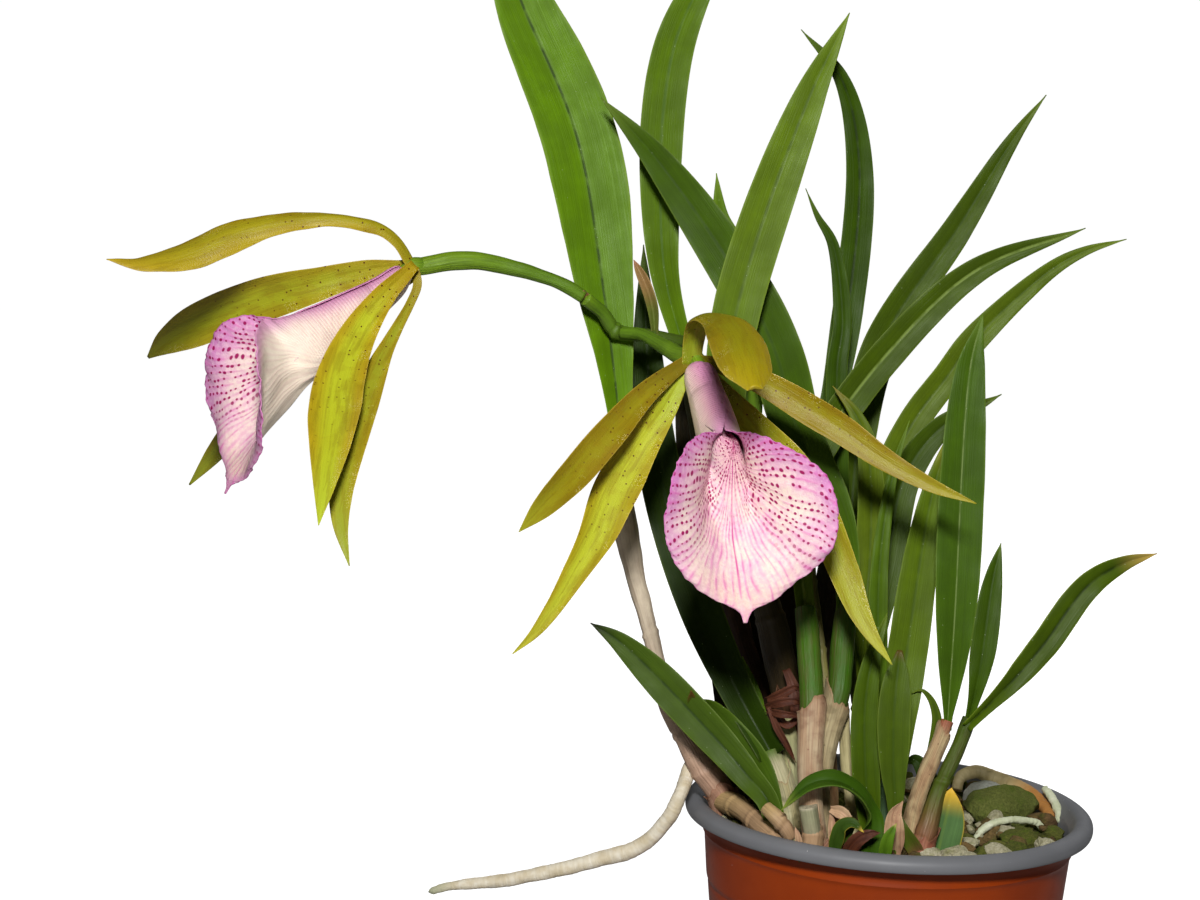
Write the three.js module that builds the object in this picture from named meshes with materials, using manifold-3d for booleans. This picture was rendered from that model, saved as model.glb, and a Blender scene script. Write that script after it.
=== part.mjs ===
// Potted brassocattleya orchid: a two-layer nursery pot filled with coarse mix, a clump of
// canes with strap leaves, and a stem with two open flowers.
// Millimetres, +Z up. The origin is the centre of the pot's base, and -Y faces the viewer.
import * as THREE from "three";
import { mergeVertices } from "three/addons/utils/BufferGeometryUtils.js";
import Module from "manifold-3d";

const wasm = await Module();
wasm.setup();

// Driving dimensions
const GAP = 0.3; // air left between two pieces that touch in the real plant
const POT_HEIGHT = 92;
const WALL_TOP = 87.3; // where the brown wall ends, under the lip
const POT_FOOT_RADIUS = 45.5;
const POT_TOP_RADIUS = 55.6; // brown wall right under the lip
const POT_WALL = 0.8; // each of the two layers
const LIP_RADIUS = 61;
const MIX_TOP = 86;
const MIX_LUMPS = 30; // pieces of bark and stone that break its surface
const DRAIN_RADIUS = 4.5;
const DRAIN_CIRCLE = 27;
const LEAF_THICK = 1.3; // at the midrib
const LEAF_EDGE = 0.9;
const SEPAL_THICK = 1.2;
const SEPAL_EDGE = 0.8;
const LIP_SHEET = 0.8;
const FLOWER_1_CENTRE = [-65, -26, 225];
const FLOWER_1_AZIMUTH = 15; // degrees the flower turns to the right of facing the viewer
const FLOWER_2_CENTRE = [-149, -10, 247];
const FLOWER_2_AZIMUTH = -63;

// Solids from geometry
function toSolid(geometry) {
  const bare = new THREE.BufferGeometry();
  const flat = geometry.index ? geometry.toNonIndexed() : geometry;
  bare.setAttribute("position", flat.getAttribute("position").clone());
  const merged = mergeVertices(bare, 1e-4);
  const index = merged.index.array;
  const kept = [];
  for (let i = 0; i < index.length; i += 3) {
    const [a, b, c] = [index[i], index[i + 1], index[i + 2]];
    if (a !== b && b !== c && a !== c) kept.push(a, b, c);
  }
  const make = (triVerts) =>
    new wasm.Manifold(
      new wasm.Mesh({
        numProp: 3,
        vertProperties: new Float32Array(merged.attributes.position.array),
        triVerts: new Uint32Array(triVerts),
      }),
    );
  const solid = make(kept);
  if (solid.volume() > 0) return solid;
  const turned = [];
  for (let i = 0; i < kept.length; i += 3) turned.push(kept[i], kept[i + 2], kept[i + 1]);
  return make(turned);
}

// A skin over rings that hold the same even number of points, closed by a flat strip at each end.
// The first half of a ring lies on one face and the second half, in reverse, on the other face, and
// both faces are split into triangles along like diagonals.
function skin(rings) {
  const count = rings[0].length;
  const flat = rings.flat();
  const index = [];
  for (let r = 0; r + 1 < rings.length; r++) {
    for (let k = 0; k < count; k++) {
      const a = r * count + k;
      const b = r * count + ((k + 1) % count);
      if (k < count / 2) index.push(a, b, b + count, a, b + count, a + count);
      else index.push(a, b, a + count, b, b + count, a + count);
    }
  }
  const cap = (start, flip) => {
    for (let k = 0; k + 1 < count / 2; k++) {
      const quad = [k, k + 1, count - 2 - k, count - 1 - k].map((q) => start + q);
      const [a, b, c, d] = flip ? quad : quad.reverse();
      index.push(a, b, c, a, c, d);
    }
  };
  cap(0, false);
  cap((rings.length - 1) * count, true);
  const geometry = new THREE.BufferGeometry();
  geometry.setAttribute(
    "position",
    new THREE.Float32BufferAttribute(flat.flatMap((p) => [p.x, p.y, p.z]), 3),
  );
  geometry.setIndex(index);
  return toSolid(geometry);
}

const vec = (p) => new THREE.Vector3(p[0], p[1], p[2]);
const curveOf = (points) => new THREE.CatmullRomCurve3(points.map(vec), false, "centripetal");
const smooth = (x) => x * x * (3 - 2 * x);

// Value of a list of numbers spread evenly along 0..1
function along(values, t) {
  const at = Math.min(Math.max(t, 0), 1) * (values.length - 1);
  const i = Math.min(Math.floor(at), values.length - 2);
  return values[i] + (values[i + 1] - values[i]) * (at - i);
}

// Share of the full width of a pointed blade at t: a neck, a belly at the peak, a drawn-out tip
function bladeShare(t, shape) {
  if (t < shape.peak) return shape.neck + (1 - shape.neck) * smooth(t / shape.peak);
  return 1 - Math.pow((t - shape.peak) / (1 - shape.peak), shape.tip);
}

// A leaf or petal: a folded or cupped strap along a curve, its face turned to a given direction
function blade(shape, grow = 0) {
  const curve = curveOf(shape.points);
  const rows = shape.rows ?? 10;
  const across = shape.across ?? 3;
  const from = vec(shape.face ?? [0, -1, 0]);
  const to = vec(shape.faceTip ?? shape.face ?? [0, -1, 0]);
  const rings = [];
  for (let r = 0; r <= rows; r++) {
    const t = r / rows;
    const centre = curve.getPointAt(t);
    const ahead = curve.getTangentAt(t);
    const wanted = from.clone().lerp(to, t).normalize();
    const side = new THREE.Vector3().crossVectors(ahead, wanted).normalize();
    const normal = new THREE.Vector3().crossVectors(side, ahead).normalize();
    const half = Math.max((shape.width / 2) * bladeShare(t, shape), 0.5) + grow;
    const base = shape.foldBase ?? shape.fold;
    const fold = THREE.MathUtils.degToRad(
      shape.fold + (base - shape.fold) * Math.max(0, 1 - t / 0.25),
    );
    const top = [];
    const bottom = [];
    for (let k = 0; k < across; k++) {
      const q = -1 + (2 * k) / (across - 1);
      const lift = across === 3 ? Math.abs(q) : q * q;
      const place = centre
        .clone()
        .addScaledVector(side, q * half * Math.cos(fold))
        .addScaledVector(normal, lift * half * Math.sin(fold));
      const thick = shape.edge + (shape.thick - shape.edge) * (1 - q * q) + 2 * grow;
      top.push(place.clone().addScaledVector(normal, thick / 2));
      bottom.push(place.clone().addScaledVector(normal, -thick / 2));
    }
    if (grow && r === 0) [...top, ...bottom].forEach((p) => p.addScaledVector(ahead, -grow));
    if (grow && r === rows) [...top, ...bottom].forEach((p) => p.addScaledVector(ahead, grow));
    rings.push([...top, ...bottom.reverse()]);
  }
  return skin(rings);
}

// A round stem along a curve, with radii spread evenly along it
function stem(shape, grow = 0) {
  const curve = curveOf(shape.points);
  const rows = shape.rows ?? Math.max(3, 2 * (shape.points.length - 1));
  const sides = shape.sides ?? 8;
  const frames = curve.computeFrenetFrames(rows, false);
  const rings = [];
  for (let r = 0; r <= rows; r++) {
    const t = r / rows;
    const end = r === 0 ? -grow : r === rows ? grow : 0;
    const centre = curve.getPointAt(t).addScaledVector(frames.tangents[r], end);
    const radius = along(shape.radii, t) + grow;
    const ring = [];
    for (let k = 0; k < sides; k++) {
      const a = (2 * Math.PI * k) / sides;
      ring.push(
        centre
          .clone()
          .addScaledVector(frames.normals[r], radius * Math.cos(a))
          .addScaledVector(frames.binormals[r], radius * Math.sin(a)),
      );
    }
    rings.push(ring);
  }
  return skin(rings);
}

// A solid of revolution about +Z from a closed list of radius and height pairs
function turned(profile, segments = 36) {
  const points = [...profile, profile[0]].map(([r, z]) => new THREE.Vector2(r, z));
  const lathe = new THREE.LatheGeometry(points, segments);
  return toSolid(lathe.rotateX(Math.PI / 2));
}

// Seeded draws, the same on every run
function seeded(seed) {
  let state = seed;
  return () => {
    state = (state * 16807) % 2147483647;
    return state / 2147483647;
  };
}

// A broken lump: a faceted ball with seeded dents, stretched and turned
function lump(centre, size, seed, detail = 1, turn = 0, grow = 0) {
  const draw = seeded(seed);
  const ball = mergeVertices(
    new THREE.BufferGeometry().setAttribute(
      "position",
      new THREE.IcosahedronGeometry(1, detail).getAttribute("position").clone(),
    ),
    1e-4,
  );
  const spots = ball.attributes.position;
  for (let i = 0; i < spots.count; i++) {
    const s = 0.82 + 0.3 * draw();
    spots.setXYZ(i, spots.getX(i) * s, spots.getY(i) * s, spots.getZ(i) * s);
  }
  ball.scale(size[0] + grow, size[1] + grow, size[2] + grow);
  ball.rotateX(0.5 * (draw() - 0.5));
  ball.rotateZ(turn);
  ball.translate(centre[0], centre[1], centre[2]);
  return toSolid(ball);
}

// The parts, in the order in which they keep their full form: a later one gives way to earlier ones
const parts = [];
function part(name, material, make, gives = true) {
  parts.push({ name, material, solid: make(0), grown: make(GAP), gives });
}

// Materials
const plain = (color, roughness) => new THREE.MeshStandardMaterial({ color, roughness });
const brownPlastic = plain(0x9a3d17, 0.4);
const greyPlastic = plain(0x75787f, 0.5);
const mixMaterial = plain(0x6d6238, 0.9);
const rockGreen = plain(0x55642a, 0.8);
const rootMaterial = plain(0xd8cfae, 0.7);
const caneBeige = plain(0xc3a889, 0.7);
const caneGreen = plain(0x5d7f24, 0.5);
const caneShaded = plain(0x5e5128, 0.7);
const leafGreen = plain(0x3f6f1c, 0.4);
const leafDeep = plain(0x2a5214, 0.4);
const leafOlive = plain(0x5f7c26, 0.5);
const leafYellow = plain(0xc9a63a, 0.5);
const sepalMaterial = plain(0x9c9a1f, 0.4);
const lipMaterial = plain(0xeccfdc, 0.6);
const stalkMaterial = plain(0x54801f, 0.4);

// Height to outer radius of the brown wall
const wallRadius = (z) =>
  POT_FOOT_RADIUS + ((POT_TOP_RADIUS - POT_FOOT_RADIUS) * z) / WALL_TOP;

// Brown outer layer of the pot, with its two moulded rings and its drain holes
function drains(height) {
  const holes = [];
  for (let k = 0; k < 6; k++) {
    const hole = new THREE.CylinderGeometry(DRAIN_RADIUS, DRAIN_RADIUS, height, 16);
    const a = (Math.PI * k) / 3 + 0.3;
    hole.rotateX(Math.PI / 2);
    hole.translate(DRAIN_CIRCLE * Math.cos(a), DRAIN_CIRCLE * Math.sin(a), 0);
    holes.push(toSolid(hole));
  }
  return wasm.Manifold.union(holes);
}
function potOuter() {
  const inner = (z) => wallRadius(z) - POT_WALL;
  const body = turned([
    [0, 0],
    [wallRadius(0) - 1.5, 0],
    [wallRadius(1.5), 1.5],
    [wallRadius(65), 65],
    [wallRadius(66) - 0.35, 66],
    [wallRadius(67.5) + 0.1, 67.5],
    [wallRadius(81), 81],
    [wallRadius(82) + 0.45, 82],
    [wallRadius(83.4), 83.4],
    [wallRadius(WALL_TOP), WALL_TOP],
    [inner(WALL_TOP), WALL_TOP],
    [inner(66) - 0.35, 66],
    [inner(1.5) - 0.6, 1.4],
    [0, 1.2],
  ]);
  return body.subtract(drains(20));
}
part("pot_outer", brownPlastic, potOuter, false);

// Grey inner layer, rolled outward over the brown one as the lip
function potLiner() {
  const outer = (z) => wallRadius(z) - POT_WALL - GAP;
  const inner = (z) => outer(z) - POT_WALL;
  const top = WALL_TOP + GAP;
  const body = turned([
    [0, 1.6],
    [outer(2) - 1.1, 1.9],
    [outer(66) - 0.35, 66],
    [outer(top), top],
    [outer(top) + 0.9, top + 2],
    [56.9, POT_HEIGHT - 1.3],
    [58.5, POT_HEIGHT - 1.1],
    [59.8, POT_HEIGHT - 2],
    [60.1, POT_HEIGHT - 3.4],
    [59.7, POT_HEIGHT - 4.4],
    [60.5, POT_HEIGHT - 4.6],
    [LIP_RADIUS, POT_HEIGHT - 3.4],
    [LIP_RADIUS - 0.3, POT_HEIGHT - 1.6],
    [59.2, POT_HEIGHT - 0.3],
    [57.6, POT_HEIGHT],
    [56, POT_HEIGHT - 0.7],
    [54.9, POT_HEIGHT - 2.4],
    [inner(top), top],
    [inner(66) - 0.35, 66],
    [inner(3.2) - 1, 2.7],
    [0, 2.4],
  ]);
  return body.subtract(drains(20));
}
part("pot_liner_rim", greyPlastic, potLiner, false);

// Canes, the jointed stems that rise from the rhizome: their feet stand in holes in the mix
const canes = [
  {
    name: "cane_tall_left",
    material: caneBeige,
    points: [
      [-46, -10, 79], [-47, -10, 88], [-49, -10, 95], [-56, -10, 102], [-61, -9, 109], [-68, -7, 120],
      [-71, -4, 135], [-75, -1, 147], [-79, 3, 162], [-84, 9, 185], [-85, 11, 194],
    ],
    radii: [3.4, 4.3, 4.2, 3, 2.6, 2.2, 2.1, 2.7, 3.2, 2.8, 2.4],
    rows: 16,
  },
  {
    name: "cane_back_slender",
    material: caneShaded,
    points: [
      [-29, 15, 76], [-30, 15, 87], [-36, 14, 112], [-46, 14, 136], [-55, 16, 167], [-62, 19, 197],
      [-68, 23, 225],
    ],
    radii: [3, 3.2, 3.3, 3.2, 2.6, 2.2, 2.2],
    rows: 10,
  },
  {
    name: "cane_back_sheathed",
    material: caneShaded,
    points: [[-26, 1, 76], [-27, 0, 91], [-31, -4, 117], [-37, -6, 141], [-44, -4, 164], [-50, -1, 185]],
    radii: [3.2, 3.6, 4.6, 4.8, 3.4, 2.4],
    rows: 9,
  },
  {
    name: "cane_left_sheathed",
    material: caneBeige,
    points: [[-30, -20, 76], [-31, -20, 88], [-33, -20, 98], [-35, -20, 104], [-38, -19, 111]],
    radii: [3, 3.2, 3.1, 3.4, 2.9],
  },
  {
    name: "cane_front_left",
    material: caneBeige,
    points: [
      [-25, -42, 76], [-25, -43, 88], [-27, -43, 101], [-28, -42, 114], [-28, -38, 129], [-29, -30, 143],
      [-30, -23, 154],
    ],
    radii: [2.9, 2.9, 2.7, 3, 3, 2.6, 2.3],
  },
  {
    name: "cane_front_right",
    material: caneBeige,
    points: [
      [-21, -36, 76], [-22, -36, 87], [-24, -36, 104], [-23, -35, 118], [-20, -32, 132], [-19, -26, 144],
      [-18, -20, 156],
    ],
    radii: [2.6, 2.6, 2.4, 2.6, 2.7, 2.4, 2.2],
  },
  {
    name: "cane_thin",
    material: caneShaded,
    points: [[-18, -18, 76], [-19, -18, 96], [-22, -18, 126], [-24, -10, 142], [-27, 0, 162], [-27, 8, 178]],
    radii: [1.7, 1.7, 1.5, 1.3, 1.2, 1.4],
    rows: 8,
  },
  {
    name: "cane_dry_stub",
    material: caneBeige,
    points: [[-13, -30, 77], [-14, -30, 97], [-17, -30, 117], [-18, -29, 128]],
    radii: [1.9, 1.8, 1.9, 1.5],
    rows: 5,
  },
  {
    name: "cane_right_pale",
    material: caneBeige,
    points: [[3, -27, 76], [4, -26, 94], [7, -25, 106], [11, -24, 117], [13, -23, 123]],
    radii: [2.2, 2.4, 1.9, 2, 1.7],
    rows: 6,
  },
  {
    name: "cane_right_green",
    material: caneGreen,
    points: [[7, -38, 76], [8, -37, 90], [9, -36, 95], [10, -35, 105], [15, -33, 117], [18, -32, 126]],
    radii: [2.8, 3.3, 2.9, 2.1, 2.2, 1.9],
    rows: 7,
  },
  {
    name: "cane_middle",
    material: caneGreen,
    points: [[-2, -10, 76], [-3, -10, 92], [-7, -11, 112], [-9, -12, 125]],
    radii: [2.6, 2.7, 2.5, 2.6],
    rows: 5,
  },
  {
    name: "cane_back_middle",
    material: caneGreen,
    points: [[-5, 10, 76], [-6, 10, 90], [-9, 8, 115], [-12, 7, 137]],
    radii: [2.6, 2.6, 2.4, 2.4],
    rows: 5,
  },
];
// Small growths fused to a cane: two young shoots at the foot, and a dry sheath torn loose above
const shootShape = { neck: 0.5, peak: 0.45, tip: 2.4, fold: 25, thick: 1.2, edge: 0.9, rows: 5 };
const growths = {
  cane_front_left: [
    { width: 7, points: [[-24, -43, 84], [-20, -45, 90], [-17, -47, 96], [-14, -49, 99]] },
  ],
  cane_right_green: [
    { width: 5, points: [[7, -38, 84], [3, -42, 90], [0, -43, 95], [-1, -43, 99]] },
  ],
  cane_back_sheathed: [
    { width: 9, points: [[-31, -4, 114], [-31, -10, 122], [-35, -13, 126], [-41, -13, 125]] },
  ],
};
for (const cane of canes) {
  part(cane.name, cane.material, (grow) => {
    const extra = (growths[cane.name] ?? []).map((g) => blade({ ...shootShape, ...g }, grow));
    return extra.reduce((sum, e) => sum.add(e), stem(cane, grow));
  });
}

// Rhizome creeping on the mix from the tall cane to the front canes, and the young growth beside it
function rhizome(grow) {
  return stem(
    {
      points: [[-44, -18, 86], [-41, -25, 87], [-34, -33, 86], [-31, -39, 84]],
      radii: [3.4, 3.8, 3.6, 2.6],
    },
    grow,
  );
}
part("rhizome", caneBeige, rhizome);

// Flowering stem, with the blunt sheath at its foot and the bracts at its two nodes
const RACHIS = {
  points: [
    [-67.3, 19.6, 226], [-70, 17, 226.5], [-78, 14, 228], [-88, 12, 229], [-93, 9, 235], [-98, 5, 239],
  ],
  radii: [1.9, 2, 2, 2.3, 1.9, 2.1],
  rows: 10,
};
const SHEATH_BLADE = {
  points: [[-77, 13, 228], [-80, 14, 234], [-80, 14, 240], [-77, 15, 247]],
  width: 7, neck: 0.6, peak: 0.45, tip: 3, fold: 25, thick: 1.2, edge: 0.9, rows: 5,
};
part("flower_stem", stalkMaterial, (grow) => stem(RACHIS, grow).add(blade(SHEATH_BLADE, grow)));

// Stalk, ovary and column of each flower are one organ: the column is the ovary carried on
function flowerFrame(centre, azimuth) {
  const a = THREE.MathUtils.degToRad(azimuth);
  const forward = new THREE.Vector3(Math.sin(a), -Math.cos(a), 0);
  const right = new THREE.Vector3(Math.cos(a), Math.sin(a), 0);
  const up = new THREE.Vector3(0, 0, 1);
  const at = (f, u, r) =>
    vec(centre).addScaledVector(forward, f).addScaledVector(up, u).addScaledVector(right, r);
  return { forward, right, up, at };
}
const flower1 = flowerFrame(FLOWER_1_CENTRE, FLOWER_1_AZIMUTH);
const flower2 = flowerFrame(FLOWER_2_CENTRE, FLOWER_2_AZIMUTH);
function stalkPoints(frame, stalk) {
  const inside = [[-4, 0], [-1, 0], [2, -0.5], [8, -3], [17, -10]].map(([f, u]) =>
    frame.at(f, u, 0).toArray(),
  );
  return [...stalk, ...inside];
}
part("flower_1_stalk", stalkMaterial, (grow) =>
  stem(
    {
      points: stalkPoints(flower1, [[-86.5, 9.5, 229], [-81, 5, 229], [-75, -4, 227], [-70, -14, 225]]),
      radii: [1.7, 1.8, 2, 2.4, 2.8, 3, 2.2, 1.9, 2.2],
      rows: 12,
    },
    grow,
  ),
);
part("flower_2_stalk", stalkMaterial, (grow) =>
  stem(
    {
      points: stalkPoints(flower2, [
        [-98.6, 4.7, 239.5], [-104, 3.6, 242.5], [-111, 2, 245], [-123, -1, 248], [-135, -5, 249],
      ]),
      radii: [2, 1.9, 2.1, 2.4, 2.7, 3, 3, 2.1, 1.9, 2.2],
      rows: 12,
    },
    grow,
  ),
);

// Lip: a narrow tube round the column that opens into a broad round blade with a small point.
// Each row runs from the mid-line to the margin: mid-line, first handle, second handle, margin,
// as forward, up and sideways distances from the flower's centre.
const LIP_ROWS = [
  [[2.2, -6.5, 0], [2.2, -6.5, 4.6], [5.5, 2, 4.6], [5.5, 2, 0.6]],
  [[7, -12.5, 0], [7, -12.5, 6.2], [13, -2, 6.2], [13, -2, 0.6]],
  [[14, -20.5, 0], [14, -20.5, 7], [24, -6, 6.5], [24, -6, 0.6]],
  [[21, -28, 0], [21, -28, 9], [35, -10.5, 7], [35, -10.5, 0.7]],
  [[27, -35, 0], [28, -34, 12], [44, -15, 8], [47, -14, 1]],
  [[31, -40, 0], [33, -38, 14], [50, -18, 5.5], [54.5, -15, 9.5]],
  [[34, -44, 0], [36, -42, 15], [51, -25, 11], [56.5, -18, 17]],
  [[37, -48, 0], [39, -46, 15], [51, -32, 14], [57, -25, 21.5]],
  [[40, -52, 0], [42, -50, 13], [52, -39, 17], [57, -34, 24]],
  [[43, -56, 0], [45, -54, 10], [52, -47, 18], [57, -44, 24.3]],
  [[46, -59.5, 0], [48, -58, 8], [53, -55, 15.5], [56.5, -54, 21]],
  [[50, -63, 0], [51, -62.5, 4], [53.5, -62, 8.5], [55, -62, 12.3]],
  [[55, -67, 0], [55, -67, 0.2], [55.5, -67, 0.4], [56, -67, 0.6]],
];
const lipCurves = [0, 1, 2, 3].map(
  (k) => new THREE.CatmullRomCurve3(LIP_ROWS.map((row) => vec(row[k])), false, "centripetal"),
);
function lipPoint(frame, t, q) {
  const handles = lipCurves.map((curve) => curve.getPoint(t));
  const p = new THREE.CubicBezierCurve3(...handles).getPoint(Math.abs(q));
  return frame.at(p.x, p.y, Math.sign(q) * p.z);
}
function lipSolid(frame, grow) {
  const rows = 13;
  const across = 13;
  const grid = [];
  for (let r = 0; r <= rows; r++) {
    const line = [];
    for (let k = 0; k < across; k++) {
      line.push(lipPoint(frame, r / rows, -1 + (2 * k) / (across - 1)));
    }
    grid.push(line);
  }
  const rings = grid.map((line, r) => {
    const top = [];
    const bottom = [];
    line.forEach((p, k) => {
      const along = grid[Math.min(r + 1, rows)][k].clone().sub(grid[Math.max(r - 1, 0)][k]);
      const over = line[Math.min(k + 1, across - 1)].clone().sub(line[Math.max(k - 1, 0)]);
      const normal = new THREE.Vector3().crossVectors(along, over).normalize();
      top.push(p.clone().addScaledVector(normal, LIP_SHEET / 2 + grow));
      bottom.push(p.clone().addScaledVector(normal, -LIP_SHEET / 2 - grow));
    });
    return [...top, ...bottom.reverse()];
  });
  return skin(rings);
}
part("flower_1_lip", lipMaterial, (grow) => lipSolid(flower1, grow));
part("flower_2_lip", lipMaterial, (grow) => lipSolid(flower2, grow));

// Petals and sepals
const petalShape = {
  neck: 0.3, peak: 0.5, tip: 2.2, fold: 18, thick: SEPAL_THICK, edge: SEPAL_EDGE, across: 5, rows: 10,
};
const petals = [
  {
    name: "flower_1_petal_left", width: 12,
    points: [[-69, -27.5, 223.5], [-77, -34, 217], [-93, -55, 201], [-100, -67, 192], [-112, -85, 183]],
  },
  {
    name: "flower_1_petal_right", width: 11,
    points: [
      [-61.5, -26, 224], [-47, -32, 220], [-37, -34, 215], [-24, -38, 209], [-12, -42, 201],
      [1, -47, 195], [14, -52, 191],
    ],
  },
  {
    name: "flower_1_sepal_top", width: 14, neck: 0.5, peak: 0.6, face: [0.3, -0.95, 0], faceTip: [0, 0.3, -1],
    points: [
      [-66, -27, 227.3], [-66.5, -28, 233], [-65, -34, 239], [-60, -52, 240], [-56, -76, 235.5],
      [-53, -100, 225],
    ],
  },
  {
    name: "flower_1_sepal_low_left", width: 12,
    points: [
      [-67, -26, 221], [-76, -36, 203], [-83, -42, 191], [-99, -62, 164], [-106, -71, 156],
      [-112, -82, 149],
    ],
  },
  {
    name: "flower_1_sepal_low_right", width: 10,
    points: [
      [-62.5, -25.5, 221], [-53, -31, 215], [-41, -37, 209], [-32, -41, 197], [-25, -45, 186],
      [-17, -50, 165], [-8, -54, 146],
    ],
  },
  {
    name: "flower_2_petal_far", width: 17,
    points: [[-151, -7, 247], [-179, 4, 237], [-194, 11, 233], [-210, 19, 226], [-231, 31, 214]],
  },
  {
    name: "flower_2_petal_near", width: 15.5,
    points: [
      [-150, -14, 244], [-157, -24, 233], [-163, -50, 211], [-163, -58, 204], [-163, -82, 189],
      [-164, -93, 184],
    ],
  },
  {
    name: "flower_2_sepal_top", width: 17, face: [-0.93, -0.37, -0.2], faceTip: [0, -0.4, -1],
    points: [
      [-149, -10, 249.7], [-153, -12, 255], [-171, -20, 261], [-185, -26, 261], [-195, -31, 258],
      [-216, -40, 247], [-230, -46, 246],
    ],
  },
  {
    name: "flower_2_sepal_low_near", width: 12,
    points: [[-148, -12, 242], [-150, -18, 234], [-157, -36, 215], [-160, -72, 180], [-157, -84, 172]],
  },
  {
    name: "flower_2_sepal_low_far", width: 13,
    points: [
      [-149, -7, 243], [-159, -3, 236], [-173, 4, 223], [-185, 12, 208], [-198, 20, 196], [-218, 31, 174],
    ],
  },
];
for (const petal of petals) {
  const shape = { ...petalShape, ...petal };
  part(petal.name, sepalMaterial, (grow) => blade(shape, grow));
}

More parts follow.
